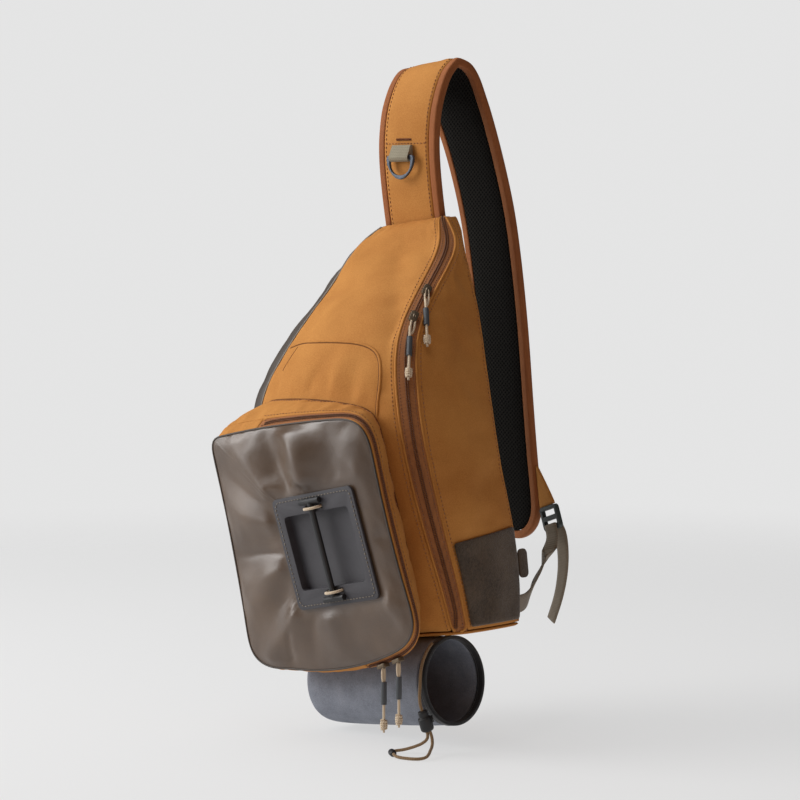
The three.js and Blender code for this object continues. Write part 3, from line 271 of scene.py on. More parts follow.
@dataclass(frozen=True)
class Finish:
    """A surface's material: its name, the record's slot and its two main colours."""

    name: str
    slot: str
    colour: RGB
    shade: RGB

    @lru_cache(maxsize=None)
    def material(self) -> bpy.types.Material:
        """Makes the material on the first call.

        Returns:
            The material.
        """
        graph = Graph(self.name)
        self.paint(graph)
        return graph.material

    def paint(self, graph: Graph) -> None:
        """Fills the graph, which each kind of finish does in its own way."""
        raise NotImplementedError

    def dress(self, piece: bpy.types.Object) -> None:
        """Gives a piece this material alone."""
        piece.data.materials.clear()
        piece.data.materials.append(self.material())


@dataclass(frozen=True)
class Woven(Finish):
    """Plain-woven cloth: crossing threads, slubs and slow changes of shade."""

    pitch: float = 0.0011
    depth: float = 0.00016
    patch: float = 16.0
    sheen: float = 0.25

    def paint(self, graph: Graph) -> None:
        """Threads along the axes, slubs and soiling.

        Args:
            graph: The material's nodes.
        """
        x, y, z = graph.axes()
        turn = 2 * math.pi / self.pitch
        across = ((x + y) * turn).sine()
        along = (z * turn).sine()
        threads = across * along * 0.5 + 0.5
        slub = graph.noise(900.0, 3.0, 0.65)
        patch = graph.noise(self.patch, 3.0, 0.55)
        light = threads * 0.2 + slub * 0.9 + patch * 0.7 - 0.42
        colour = graph.blend(light.step(0.0, 1.0), self.shade, self.colour)
        relief = threads * 0.45 + slub * 0.55
        graph.finish(colour, 0.86 - patch * 0.1, relief, self.depth, Sheen_Weight=self.sheen,
                     Sheen_Roughness=0.6, Specular_IOR_Level=0.25)


@dataclass(frozen=True)
class Coated(Finish):
    """Cloth under a smooth soft coat, with creases that catch the light."""

    rough: float = 0.42
    coat: float = 0.3

    def paint(self, graph: Graph) -> None:
        """Fine grain, soft creases and rubbed places.

        Args:
            graph: The material's nodes.
        """
        grain = graph.noise(1500.0, 2.0, 0.5)
        crease = graph.noise(38.0, 3.0, 0.5)
        rub = graph.noise(9.0, 3.0, 0.6)
        colour = graph.blend((rub * 0.7 + grain * 0.3).step(0.3, 0.75), self.shade, self.colour)
        relief = crease * 0.5 + grain * 0.2
        roughness = rub * 0.22 + (self.rough - 0.1)
        graph.finish(colour, roughness, relief, 0.0006, Specular_IOR_Level=0.6, Coat_Weight=self.coat,
                     Coat_Roughness=0.28)


@dataclass(frozen=True)
class Felted(Finish):
    """Pressed wool: short fibres in all directions."""

    def paint(self, graph: Graph) -> None:
        """Fibre noise at three sizes.

        Args:
            graph: The material's nodes.
        """
        fibre = graph.noise(2200.0, 4.0, 0.75)
        tuft = graph.noise(420.0, 3.0, 0.6)
        patch = graph.noise(35.0, 2.0, 0.5)
        light = fibre * 0.5 + tuft * 0.35 + patch * 0.3
        colour = graph.blend(light.step(0.35, 0.8), self.shade, self.colour)
        graph.finish(colour, 0.97, fibre * 0.5 + tuft * 0.5, 0.0007, Sheen_Weight=0.35,
                     Specular_IOR_Level=0.1)


@dataclass(frozen=True)
class AirMesh(Finish):
    """Spacer mesh: offset rows of small open holes between knitted threads."""

    pitch: float = 0.0046

    def paint(self, graph: Graph) -> None:
        """Dark holes in rows, with fibres between them.

        Args:
            graph: The material's nodes.
        """
        x, y, z = graph.axes()
        turn = 2 * math.pi / self.pitch
        hole = (((x + y) * turn).sine() * (z * turn).sine()).step(-0.1, 0.55)
        fibre = graph.noise(1600.0, 2.0, 0.6)
        thread = (1 - hole) * 0.8 + fibre * 0.2
        colour = graph.blend(thread, self.shade, self.colour)
        graph.finish(colour, 0.95, thread, 0.0009, Specular_IOR_Level=0.08)


@dataclass(frozen=True)
class Ribbed(Finish):
    """Woven tape or webbing with cross ribs."""

    pitch: float = 0.0013
    depth: float = 0.00025
    sheen: float = 0.2

    def paint(self, graph: Graph) -> None:
        """Ribs up the piece and threads across it.

        Args:
            graph: The material's nodes.
        """
        x, y, z = graph.axes()
        turn = 2 * math.pi / self.pitch
        rib = (z * turn).sine() * 0.5 + 0.5
        thread = ((x - y) * (turn * 0.6)).sine() * 0.5 + 0.5
        slub = graph.noise(1100.0, 3.0, 0.6)
        wear = graph.noise(22.0, 3.0, 0.6)
        light = rib * 0.22 + thread * 0.1 + slub * 0.4 + wear * 0.5
        colour = graph.blend(light.step(0.2, 0.95), self.shade, self.colour)
        graph.finish(colour, 0.8 - wear * 0.12, rib * 0.5 + thread * 0.2 + slub * 0.3, self.depth,
                     Sheen_Weight=self.sheen, Specular_IOR_Level=0.3)


@dataclass(frozen=True)
class Moulded(Finish):
    """Moulded plastic or painted metal with a fine grain."""

    rough: float = 0.5
    metal: float = 0.0
    grain: float = 0.00012

    def paint(self, graph: Graph) -> None:
        """Fine grain, smudges and small scuffs.

        Args:
            graph: The material's nodes.
        """
        grain = graph.noise(2600.0, 2.0, 0.5)
        smudge = graph.noise(45.0, 4.0, 0.6)
        scuff = graph.noise(380.0, 4.0, 0.7).step(0.62, 0.8)
        colour = graph.blend(smudge * 0.7 + scuff * 0.5, self.shade, self.colour)
        graph.finish(colour, self.rough + smudge * 0.16 - 0.08, grain, self.grain, Metallic=self.metal,
                     Specular_IOR_Level=0.45)


@dataclass(frozen=True)
class Braided(Finish):
    """Braided cord: strands that cross at a slant."""

    pitch: float = 0.0022

    def paint(self, graph: Graph) -> None:
        """Two sets of slanting strands and loose fibres.

        Args:
            graph: The material's nodes.
        """
        x, y, z = graph.axes()
        turn = 2 * math.pi / self.pitch
        strands = ((x + z) * turn).sine() * ((y - z) * turn).sine() * 0.5 + 0.5
        fibre = graph.noise(1900.0, 3.0, 0.6)
        colour = graph.blend(strands * 0.6 + fibre * 0.4, self.shade, self.colour)
        graph.finish(colour, 0.85, strands * 0.7 + fibre * 0.3, 0.0004, Sheen_Weight=0.25,
                     Specular_IOR_Level=0.25)


# Finishes of this bag
CANVAS = Woven("tan_canvas", "tan_canvas", linear(201, 141, 71), linear(165, 104, 45), sheen=0.0)
# Darker copy of the tan canvas for thin tubes along seams and a crease: painted shadow, not a cloth of its
# own
SEAM_PAINTED_SHADOW = Woven("seam_painted_shadow", "tan_canvas", linear(120, 74, 34), linear(92, 54, 24), sheen=0.0)
PANEL_COAT = Coated("coated_cloth", "coated_cloth", linear(99, 77, 57), linear(67, 50, 36), 0.34)
SIDE_COAT = Coated("coated_side", "coated_cloth", linear(78, 66, 56), linear(50, 41, 34), 0.62, 0.03)
ZIP_TAPE = Ribbed("zip_tape", "zip_tape", linear(170, 110, 63), linear(122, 76, 43), 0.0010, sheen=0.0)
ZIP_COIL = Moulded("zip_coil", "zip_tape", linear(126, 78, 43), linear(88, 53, 29), 0.5)
FELT = Felted("felt", "felt", linear(100, 84, 67), linear(48, 38, 29))
MESH = AirMesh("air_mesh", "air_mesh", linear(34, 32, 29), linear(4, 4, 4))
BINDING = Ribbed("edge_binding", "edge_binding", linear(166, 100, 54), linear(122, 70, 36), 0.0012, sheen=0.0)
WEBBING = Ribbed("webbing", "webbing", linear(140, 126, 106), linear(96, 85, 70), 0.0016)
TAB_WEB = Ribbed("tab_webbing", "tab_webbing", linear(152, 144, 124), linear(112, 104, 86), 0.0016, sheen=0.0)
DOCK = Moulded("moulded_dock", "moulded_dock", linear(78, 76, 80), linear(48, 46, 50), 0.55)
BUCKLE = Moulded("buckle", "buckle", linear(70, 78, 76), linear(46, 52, 50), 0.45)
RING_METAL = Moulded("ring_metal", "ring_metal", linear(96, 104, 116), linear(66, 74, 86), 0.46, 0.35)
SLEEVE = Woven("sleeve_cloth", "sleeve_cloth", linear(144, 148, 158), linear(102, 105, 114),
               pitch=0.0015, depth=0.0002, patch=60.0, sheen=0.0)
BLACK_TRIM = Ribbed("black_trim", "black_trim", linear(34, 34, 36), linear(18, 18, 20), 0.0014)
BLACK_PLASTIC = Moulded("black_plastic", "black_plastic", linear(40, 40, 42), linear(22, 22, 24), 0.5)
TAN_CORD = Braided("tan_cord", "tan_cord", linear(158, 130, 96), linear(104, 82, 58))
PALE_CORD = Braided("pale_cord", "pale_cord", linear(226, 208, 182), linear(178, 156, 128))
GRIP_TUBE = Moulded("grip_tube", "grip_tube", linear(80, 84, 88), linear(54, 57, 61), 0.5)
SLIDER_METAL = Moulded("slider_metal", "slider_metal", linear(128, 112, 92), linear(84, 70, 54), 0.4, 0.6)
TAN_THREAD = Braided("tan_thread", "tan_canvas", linear(180, 118, 62), linear(122, 74, 34), 0.001)
DARK_THREAD = Braided("dark_thread", "coated_cloth", linear(104, 90, 78), linear(66, 55, 46), 0.001)
PALE_THREAD = Braided("pale_thread", "coated_cloth", linear(168, 156, 140), linear(120, 110, 98), 0.001)
TAPE_THREAD = Braided("tape_thread", "zip_tape", linear(128, 82, 46), linear(88, 54, 30), 0.001)
BINDING_THREAD = Braided("binding_thread", "edge_binding", linear(150, 84, 42), linear(100, 54, 26), 0.001)
GREY_PIPING = Ribbed("grey_piping", "coated_cloth", linear(150, 142, 132), linear(108, 100, 92), 0.001,
                     sheen=0.0)


class Side(Enum):
    """Which of a wall's two faces is meant."""

    OUTER = "outer"
    FRONT = "front"


NODES: dict[str, bpy.types.Object] = {}

# What counts as one place, as the two facing sides of a wall, and as looking outwards
SAME_PLACE = 1e-5
FACING = -0.6
OUTWARD = 0.05

# Angles by which faces are paired and edges are told apart
PAIR_TURN = math.radians(40)
PAIR_SKEW = math.radians(70)
FLAT_EDGE = math.radians(2)
BEVEL_EDGE = math.radians(32)
SHARP_EDGE = math.radians(45)
SHADE_EDGE = math.radians(50)


def merged(node: str) -> bmesh.types.BMesh:
    """Copy of a CAD node's mesh with its loose triangles joined.

    Args:
        node: The node's name.

    Returns:
        The joined mesh.
    """
    shape = bmesh.new()
    shape.from_mesh(NODES[node].data)
    bmesh.ops.remove_doubles(shape, verts=shape.verts, dist=SAME_PLACE)
    return shape


def square_up(shape: bmesh.types.BMesh) -> None:
    """Joins pairs of triangles into four-sided faces."""
    bmesh.ops.join_triangles(shape, faces=shape.faces[:], angle_face_threshold=PAIR_TURN,
                             angle_shape_threshold=PAIR_SKEW)


def piece_from(name: str, shape: bmesh.types.BMesh, finish: Finish) -> bpy.types.Object:
    """Object of a finished mesh, smooth-shaded, dressed and in the scene.

    Args:
        name: The piece's name.
        shape: Its mesh, which is freed.
        finish: Its material.

    Returns:
        The new object.
    """
    mesh = bpy.data.meshes.new(name)
    shape.to_mesh(mesh)
    shape.free()
    for face in mesh.polygons:
        face.use_smooth = True
    piece = bpy.data.objects.new(name, mesh)
    bpy.context.scene.collection.objects.link(piece)
    finish.dress(piece)
    return piece


def settle(piece: bpy.types.Object, body: str = BAG, *nodes: str) -> bpy.types.Object:
    """Lets a piece ride on a body and stand for its nodes.

    Args:
        piece: The piece.
        body: The body that carries it.
        nodes: The CAD nodes that it stands for.

    Returns:
        The piece.
    """
    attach(piece, body)
    if nodes:
        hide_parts(*nodes)
    LOG.info("%s: %d faces", piece.name, len(piece.data.polygons) if piece.type == "MESH" else 0)
    return piece


def bake(piece: bpy.types.Object) -> None:
    """Applies a piece's modifiers to its mesh.

    Args:
        piece: The piece.
    """
    graph = bpy.context.evaluated_depsgraph_get()
    made = bpy.data.meshes.new_from_object(piece.evaluated_get(graph))
    old = piece.data
    piece.modifiers.clear()
    piece.data = made
    made.name = old.name
    bpy.data.meshes.remove(old)


def rounded(piece: bpy.types.Object, levels: int) -> None:
    """Adds a subdivision surface that is the same in view and in render.

    Args:
        piece: The piece.
        levels: Its subdivision levels.
    """
    modifier = piece.modifiers.new("round", "SUBSURF")
    modifier.levels = levels
    modifier.render_levels = levels
    modifier.boundary_smooth = "PRESERVE_CORNERS"


def thicken(piece: bpy.types.Object, wall: float) -> None:
    """Adds a wall behind a piece's face.

    Args:
        piece: The piece.
        wall: The wall's thickness.
    """
    modifier = piece.modifiers.new("wall", "SOLIDIFY")
    modifier.thickness = wall
    modifier.offset = -1.0
    modifier.use_even_offset = False


def skin_of(node: str, wall: float, side: Side = Side.OUTER, core: Vector | None = None) -> bmesh.types.BMesh:
    """One face of a thin CAD wall, without its rims and its other face.

    Args:
        node: The node's name.
        wall: The greatest thickness that counts as its wall.
        side: Which face is kept.
        core: A place inside the bag, from which the outer face looks away.

    Returns:
        The face as an open mesh.
    """
    shape = merged(node)
    tree = BVHTree.FromBMesh(shape)
    rims = []
    for face in shape.faces:
        start = face.calc_center_median() - face.normal * SAME_PLACE
        _, normal, _, _ = tree.ray_cast(start, -face.normal, wall)
        wall_face = normal is not None and normal.dot(face.normal) < FACING
        if not wall_face or core and (start - core).normalized().dot(face.normal) < OUTWARD:
            rims.append(face)
    bmesh.ops.delete(shape, geom=rims, context="FACES")
    islands: list[list[bmesh.types.BMFace]] = []
    seen: set[bmesh.types.BMFace] = set()
    for first in shape.faces:
        if first in seen:
            continue
        seen.add(first)
        island, todo = [], [first]
        while todo:
            face = todo.pop()
            island.append(face)
            near = [other for edge in face.edges for other in edge.link_faces if other not in seen]
            seen.update(near)
            todo.extend(near)
        islands.append(island)

    def weight(island: list[bmesh.types.BMFace]) -> float:
        """Area of an island, or of what of it looks forward.

        Args:
            island: Faces that hang together.

        Returns:
            The area.
        """
        if side is Side.FRONT:
            return sum(face.calc_area() * face.normal.dot(FRONT) for face in island)
        return sum(face.calc_area() for face in island)

    kept = set(max(islands, key=weight))
    bmesh.ops.delete(shape, geom=[face for face in shape.faces if face not in kept], context="FACES")
    square_up(shape)
    return shape


# Places and normals along a line
Trail = list[tuple[Vector, Vector]]

# Pitches at which lines are traced, and sizes of sewn edges
FINE_PITCH = 0.002
LINE_PITCH = 0.003
SOFT_PITCH = 0.004
TUBE_SIDES = 8
WELT_JOIN = 0.006
CLOSED_GAP = 1e-6
SEWN_DEPTH = 0.003


def trails(shape: bmesh.types.BMesh, wanted: Callable[[bmesh.types.BMEdge], bool]) -> list[Trail]:
    """Ordered places and normals along chains of edges.

    Args:
        shape: The mesh that holds the edges.
        wanted: Says whether an edge belongs to a chain.

    Returns:
        One trail for each chain, the longest first.
    """
    left = dict.fromkeys(edge for edge in shape.edges if wanted(edge))
    found = []
    while left:
        edge = next(iter(left))
        del left[edge]
        chain = list(edge.verts)
        for end in (1, 0):
            while True:
                tip = chain[-1] if end else chain[0]
                step = next((e for e in tip.link_edges if e in left), None)
                if step is None:
                    break
                del left[step]
                other = step.other_vert(tip)
                chain.insert(len(chain) if end else 0, other)
        found.append([(vert.co.copy(), vert.normal.copy()) for vert in chain])
    return sorted(found, key=len, reverse=True)


def spaced(trail: Trail, pitch: float, start: float = 0.0) -> list[tuple[Vector, Vector, Vector]]:
    """Evenly spaced places along a trail.

    Args:
        trail: Places and normals.
        pitch: Distance between neighbours.
        start: Distance of the first from the trail's end.

    Returns:
        Place, normal and direction of each.
    """
    out, need = [], start
    for (a, normal_a), (b, normal_b) in zip(trail, trail[1:]):
        length = (b - a).length
        while need <= length and length > 0:
            share = need / length
            out.append((a.lerp(b, share), normal_a.lerp(normal_b, share).normalized(), (b - a).normalized()))
            need += pitch
        need -= length
    return out


def beside(trail: Trail, away: float) -> Trail:
    """The trail moved sideways within its surface.

    Args:
        trail: Places and normals.
        away: How far to move, to the left of the way with the normal up.

    Returns:
        The moved trail.
    """
    out = []
    for i, (place, normal) in enumerate(trail):
        ahead = trail[min(i + 1, len(trail) - 1)][0] - trail[max(i - 1, 0)][0]
        left = normal.cross(ahead).normalized()
        out.append((place + left * away, normal))
    return out


@dataclass(frozen=True)
class Stitching:
    """A row of sewn stitches."""

    length: float
    pitch: float
    width: float
    lift: float

    def sew(self, shape: bmesh.types.BMesh, trail: Trail) -> None:
        """Lays the stitches along a trail.

        Args:
            shape: The mesh that takes them.
            trail: Where they go.
        """
        for place, normal, ahead in spaced(trail, self.pitch, self.pitch / 2):
            across = normal.cross(ahead).normalized()
            up = ahead.cross(across)
            turn = Matrix((ahead * self.length, across * self.width, up * self.width)).transposed().to_4x4()
            turn.translation = place + normal * self.lift
            bmesh.ops.create_icosphere(shape, subdivisions=1, radius=0.5, matrix=turn)


BODY_STITCH = Stitching(length=0.0030, pitch=0.0041, width=0.0010, lift=0.0002)
STRAP_STITCH = Stitching(length=0.0030, pitch=0.0042, width=0.0010, lift=0.0002)
TACK_STITCH = Stitching(length=0.0008, pitch=0.0009, width=0.0026, lift=0.0004)


def frame_at(trail: Trail, i: int) -> Matrix:
    """Place and turn of a section of a trail, its Z along the way.

    Args:
        trail: Places and normals.
        i: The section's number.

    Returns:
        The section's matrix.
    """
    after = trail[min(i + 1, len(trail) - 1)][0]
    before = trail[max(i - 1, 0)][0]
    ahead = (after - before).normalized()
    across = trail[i][1].cross(ahead).normalized()
    turn = Matrix((across, ahead.cross(across), ahead)).transposed().to_4x4()
    turn.translation = trail[i][0]
    return turn


def tube(shape: bmesh.types.BMesh, trail: Trail, radius: float, flat: float = 1.0) -> None:
    """Tube along a trail, from a circle that is extruded from place to place.

    Args:
        shape: The mesh that takes the tube.
        trail: Places and normals along its middle.
        radius: Its radius.
        flat: Its height as a share of its width.
    """
    press = Matrix.Diagonal((1.0, flat, 1.0, 1.0))
    turn = frame_at(trail, 0) @ press
    made = bmesh.ops.create_circle(shape, cap_ends=True, segments=TUBE_SIDES, radius=radius, matrix=turn)
    ring = made["verts"]
    faces = list(dict.fromkeys(face for vert in ring for face in vert.link_faces))
    around = dict.fromkeys(edge for vert in ring for edge in vert.link_edges)
    edges = [edge for edge in around if len(edge.link_faces) == 1]
    for i in range(1, len(trail)):
        grown = bmesh.ops.extrude_edge_only(shape, edges=edges)["geom"]
        verts = [part for part in grown if isinstance(part, bmesh.types.BMVert)]
        edges = [part for part in grown if isinstance(part, bmesh.types.BMEdge)
                 and all(vert in verts for vert in part.verts)]
        faces += [part for part in grown if isinstance(part, bmesh.types.BMFace)]
        after = frame_at(trail, i) @ press
        bmesh.ops.transform(shape, matrix=after @ turn.inverted(), verts=verts)
        turn = after
    faces += bmesh.ops.contextual_create(shape, geom=edges)["faces"]
    bmesh.ops.recalc_face_normals(shape, faces=faces)


def runs(trail: Trail, bend: float = 40.0, least: float = 0.03) -> list[Trail]:
    """Smooth runs of a trail, parted at its corners.

    Args:
        trail: Places and normals, with the last place next to the first where it is closed.
        bend: Turn in degrees that counts as a corner.
        least: Shortest run that is kept.

    Returns:
        The runs, the longest first.
    """
    parts, run = [], [trail[0]]
    for i in range(1, len(trail)):
        run.append(trail[i])
        if i + 1 < len(trail):
            before, after = trail[i][0] - trail[i - 1][0], trail[i + 1][0] - trail[i][0]
            if before.length > 0 and after.length > 0 and before.angle(after) > math.radians(bend):
                parts.append(run)
                run = [trail[i]]
    parts.append(run)
    if len(parts) > 1 and (trail[0][0] - trail[-1][0]).length < CLOSED_GAP:
        start, after = parts[0], parts[-1]
        if (start[1][0] - start[0][0]).angle(after[-1][0] - after[-2][0]) < math.radians(bend):
            parts = [after + start[1:], *parts[1:-1]]
    kept = [part for part in parts if span(part) > least]
    return sorted(kept, key=span, reverse=True)


def span(trail: Trail) -> float:
    """Length of a trail."""
    return sum((b[0] - a[0]).length for a, b in zip(trail, trail[1:]))


def even(trail: Trail, pitch: float) -> Trail:
    """The trail at an even pitch, softened once along its way.

    Args:
        trail: Places and normals.
        pitch: Distance between neighbours.

    Returns:
        The softened trail.
    """
    line = [(place, normal) for place, normal, _ in spaced(trail, pitch)]
    soft = [line[0]]
    for before, here, after in zip(line, line[1:], line[2:]):
        soft.append(((before[0] + here[0] * 2 + after[0]) / 4, here[1]))
    return soft + line[-1:]


def mesh_of(piece: bpy.types.Object) -> bmesh.types.BMesh:
    """A piece's mesh for reading or shaping, with its normals up to date.

    Args:
        piece: The piece.

    Returns:
        A copy of its mesh.
    """
    shape = bmesh.new()
    shape.from_mesh(piece.data)
    shape.normal_update()
    return shape


def surface_of(piece: bpy.types.Object) -> BVHTree:
    """A piece's finished surface, with its modifiers."""
    return BVHTree.FromObject(piece, bpy.context.evaluated_depsgraph_get())


def nearest(node: str) -> Callable[[Vector], float]:
    """Distance to a CAD node.

    Args:
        node: The node's name.

    Returns:
        A function from a place to its distance.
    """
    shape = merged(node)
    tree = BVHTree.FromBMesh(shape)
    shape.free()
    return lambda place: tree.find_nearest(place)[3]


@dataclass(frozen=True)
class Fold:
    """A soft ridge or crease in a panel, in millimetres of the panel's own frame."""

    start: tuple[float, float]
    end: tuple[float, float]
    width: float
    height: float
    flare: float = 0.5
    fade: float = 0.4

    def rise(self, x: float, z: float) -> float:
        """Height of the fold at a place, in millimetres.

        Args:
            x: Distance across the panel.
            z: Distance up it.

        Returns:
            The height.
        """
        a, b, place = Vector(self.start), Vector(self.end), Vector((x, z))
        way = b - a
        share = min(max((place - a).dot(way) / way.length_squared, 0.0), 1.0)
        off = (place - a - way * share).length / (self.width * (1.0 + self.flare * share))
        return self.height * (1.0 - self.fade * share) * math.exp(1.0 - math.sqrt(1.0 + 4.0 * off * off))


@dataclass(frozen=True)
class FoldSet:
    """Folds of one panel and the frame that they are given in."""

    origin: Vector
    across: Vector
    up: Vector
    out: Vector
    folds: tuple[Fold, ...]

    def move(self, place: Vector) -> Vector:
        """Shift of a place by all the folds.

        Args:
            place: The place in metres.

        Returns:
            The shift in metres.
        """
        local = (place - self.origin) * 1000
        rise = sum(fold.rise(local.dot(self.across), local.dot(self.up)) for fold in self.folds)
        return self.out * (rise / 1000)


@dataclass
class SoftWall:
    """A cloth panel between its seams, made from one face of its CAD wall and draped by simulation."""

    name: str
    node: str
    finish: Finish
    wall: float = 0.0022
    limit: float = 0.0045
    side: Side = Side.OUTER
    levels: int = 2
    slack: float = 0.012
    pressure: float = 1.2
    cap: float = 0.005
    pucker: float = 0.0007
    sway: float = 0.0008
    fill: float = 0.5
    held: tuple[str, ...] = ()
    stiff: float = 1.5
    corner: float = 50.0
    core: Vector | None = None
    folds: FoldSet | None = None
    held_reach: float = 0.005
    held_rim: float = 0.004
    fold_ramp: float = 0.008
    pucker_reach: float = 0.012
    pucker_ramp: float = 0.003
    pucker_lumps: float = 95.0
    sway_ramp: float = 0.02
    sway_lumps: float = 28.0
    piece: bpy.types.Object = field(init=False)
    rest: list[Vector] = field(init=False, default_factory=list)

    def cut(self) -> None:
        """Cuts the panel from its CAD wall and marks its sewn edge."""
        self.piece = piece_from(self.name, skin_of(self.node, self.limit, self.side, self.core), self.finish)
        rounded(self.piece, self.levels)
        bake(self.piece)
        shape = mesh_of(self.piece)
        gaps = [nearest(node) for node in self.held]
        still = [vert.index for vert in shape.verts
                 if vert.is_boundary or any(gap(vert.co) < self.held_reach for gap in gaps)]
        shape.free()
        self.piece.vertex_groups.new(name="sewn").add(still, 1.0, "REPLACE")
        self.rest = [vert.co.copy() for vert in self.piece.data.vertices]

    def hang(self) -> None:
        """Adds the cloth for the common simulation."""
        cloth = self.piece.modifiers.new("cloth", "CLOTH")
        cloth.settings.quality = 5
        cloth.settings.mass = 0.25
        cloth.settings.air_damping = 2.0
        cloth.settings.tension_stiffness = 20.0
        cloth.settings.compression_stiffness = 20.0
        cloth.settings.shear_stiffness = 8.0
        cloth.settings.bending_stiffness = self.stiff
        cloth.settings.vertex_group_mass = "sewn"
        cloth.settings.use_pressure = True
        cloth.settings.uniform_pressure_force = self.pressure
        cloth.settings.shrink_min = -self.slack
        cloth.settings.effector_weights.gravity = 0.0
        cloth.collision_settings.use_collision = False
        cloth.point_cache.frame_start = 1
        cloth.point_cache.frame_end = Drape.FRAMES

    def take(self) -> None:
        """Applies the simulated shape, with each point's move capped."""
        bake(self.piece)
        for vert, rest in zip(self.piece.data.vertices, self.rest):
            move = vert.co - rest
            if move.length > self.cap:
                vert.co = rest + move * (self.cap / move.length)

    def sew_up(self) -> None:
        """Folds the cloth, puckers it along its sewn edge and gives it its thickness."""
        shape = mesh_of(self.piece)
        edge = [vert.co.copy() for vert in shape.verts if vert.is_boundary]
        tree = BVHTree.FromPolygons(edge, [(i, i, i) for i in range(len(edge))])
        gaps = [nearest(node) for node in self.held]
        for vert in shape.verts:
            ways = [tree.find_nearest(vert.co)[3]]
            ways += [max(gap(vert.co) - self.held_rim, 0) for gap in gaps]
            away = min(ways)
            if self.folds:
                vert.co += self.folds.move(vert.co) * min(away / self.fold_ramp, 1.0)
            near = math.exp(-away / self.pucker_reach) * min(away / self.pucker_ramp, 1.0)
            fine = noise.noise(vert.co * self.pucker_lumps)
            broad = noise.noise(vert.co * self.sway_lumps) * min(away / self.sway_ramp, 1.0)
            vert.co += vert.normal * (self.pucker * 2.0 * fine * near + self.sway * broad)
        shape.to_mesh(self.piece.data)
        shape.free()
        thicken(self.piece, self.wall)
        rounded(self.piece, 1)
        settle(self.piece, BAG, self.node)

    def seams(self, beside_node: str, inset: float, reach: float = 0.006) -> list[Trail]:
        """Places for stitches along the edge that meets another node.

        Args:
            beside_node: The node on the seam's other side.
            inset: Distance of the stitches from the edge.
            reach: How near the edge comes to that node.

        Returns:
            The trails.
        """
        gap = nearest(beside_node)
        return self._edge_lines(lambda e: e.is_boundary and max(gap(v.co) for v in e.verts) < reach, inset)

    def rim_lines(self, inset: float = 0.0) -> list[Trail]:
        """The panel's whole edge, in smooth runs that may lie inside it."""
        return self._edge_lines(lambda e: e.is_boundary, inset)

    def _edge_lines(self, wanted: Callable[[bmesh.types.BMEdge], bool], inset: float) -> list[Trail]:
        """Smooth runs along some of the panel's edges.

        Args:
            wanted: Says whether an edge counts.
            inset: How far the lines lie inside the edge.

        Returns:
            The runs, on the finished surface.
        """
        shape = mesh_of(self.piece)
        lines = [even(run, LINE_PITCH) for line in trails(shape, wanted) for run in runs(line, self.corner)]
        shape.free()
        tree = surface_of(self.piece)
        return [inside(tree, line, inset) if inset else line for line in lines]


class Drape:
    """One simulation of all the cloth panels together."""

    FRAMES = 20

    @classmethod
    def run(cls, walls: Sequence[SoftWall]) -> None:
        """Cuts, hangs and sews up the panels.

        Args:
            walls: The panels.
        """
        for wall in walls:
            wall.cut()
        for wall in walls:
            wall.hang()
        for number in range(1, cls.FRAMES + 1):
            bpy.context.scene.frame_set(number)
        for wall in walls:
            wall.take()
        bpy.context.scene.frame_set(1)
        for wall in walls:
            wall.sew_up()


def smoothed(name: str, node: str, finish: Finish, levels: int = 2, keep: float = 0.0,
             sewn_into: str = "") -> bpy.types.Object:
    """Soft copy of a CAD node under a subdivision surface.

    Args:
        name: The piece's name.
        node: The node.
        finish: Its material.
        levels: Subdivision levels.
        keep: How far its sharp edges stay sharp, from 0 to 1.
        sewn_into: Node that its end runs into, if any.

    Returns:
        The piece.
    """
    shape = merged(node)
    square_up(shape)
    if sewn_into:
        gap = nearest(sewn_into)
        for vert in shape.verts:
            if gap(vert.co) < SEWN_DEPTH:
                vert.co += FRONT * SEWN_DEPTH
    crease = shape.edges.layers.float.new("crease_edge")
    for edge in shape.edges:
        if edge.calc_face_angle(0.0) > SHARP_EDGE:
            edge[crease] = keep
    piece = piece_from(name, shape, finish)
    rounded(piece, levels)
    return settle(piece, BAG, node)


def softened(name: str, node: str, finish: Finish, width: float, body: str = BAG) -> bpy.types.Object:
    """Copy of a hard CAD node with rounded edges.

    Args:
        name: The piece's name.
        node: The node.
        finish: Its material.
        width: Width of the rounding.
        body: The body that carries it.

    Returns:
        The piece.
    """
    shape = merged(node)
    bmesh.ops.dissolve_limit(shape, angle_limit=FLAT_EDGE, verts=shape.verts, edges=shape.edges)
    sharp = [edge for edge in shape.edges if edge.calc_face_angle(0.0) > BEVEL_EDGE]
    bmesh.ops.bevel(shape, geom=sharp, offset=width, affect="EDGES", segments=3, profile=0.5, material=-1,
                    clamp_overlap=True)
    piece = piece_from(name, shape, finish)
    piece.data.set_sharp_from_angle(angle=SHADE_EDGE)
    return settle(piece, body, node)


def laid_on(tree: BVHTree, trail: Trail) -> Trail:
    """The trail brought onto a surface, with that surface's normals."""
    return [tree.find_nearest(place)[:2] for place, _ in trail]


def inside(tree: BVHTree, trail: Trail, inset: float) -> Trail:
    """The trail moved in from a surface's edge.

    Args:
        tree: The surface.
        trail: The edge.
        inset: How far to move.

    Returns:
        The moved trail, on the surface.
    """
    both = [beside(trail, inset), beside(trail, -inset)]
    near = min(both, key=lambda t: sum(tree.find_nearest(place)[3] for place, _ in t[2:-2]))
    return laid_on(tree, near)


def welt(name: str, lines: Iterable[Trail], radius: float, finish: Finish,
         flat: float = 0.8) -> bpy.types.Object:
    """Folded edges, piping or thin tubes of painted shadow along trails.

    Args:
        name: The piece's name.
        lines: The trails.
        radius: Radius of the fold.
        finish: Its material.
        flat: Its height as a share of its width.

    Returns:
        The piece.
    """
    shape = bmesh.new()
    for line in lines:
        closed = (line[0][0] - line[-1][0]).length < WELT_JOIN
        soft = even(line, SOFT_PITCH)
        tube(shape, soft + soft[:2] if closed else soft, radius, flat)
    return settle(piece_from(name, shape, finish), BAG)


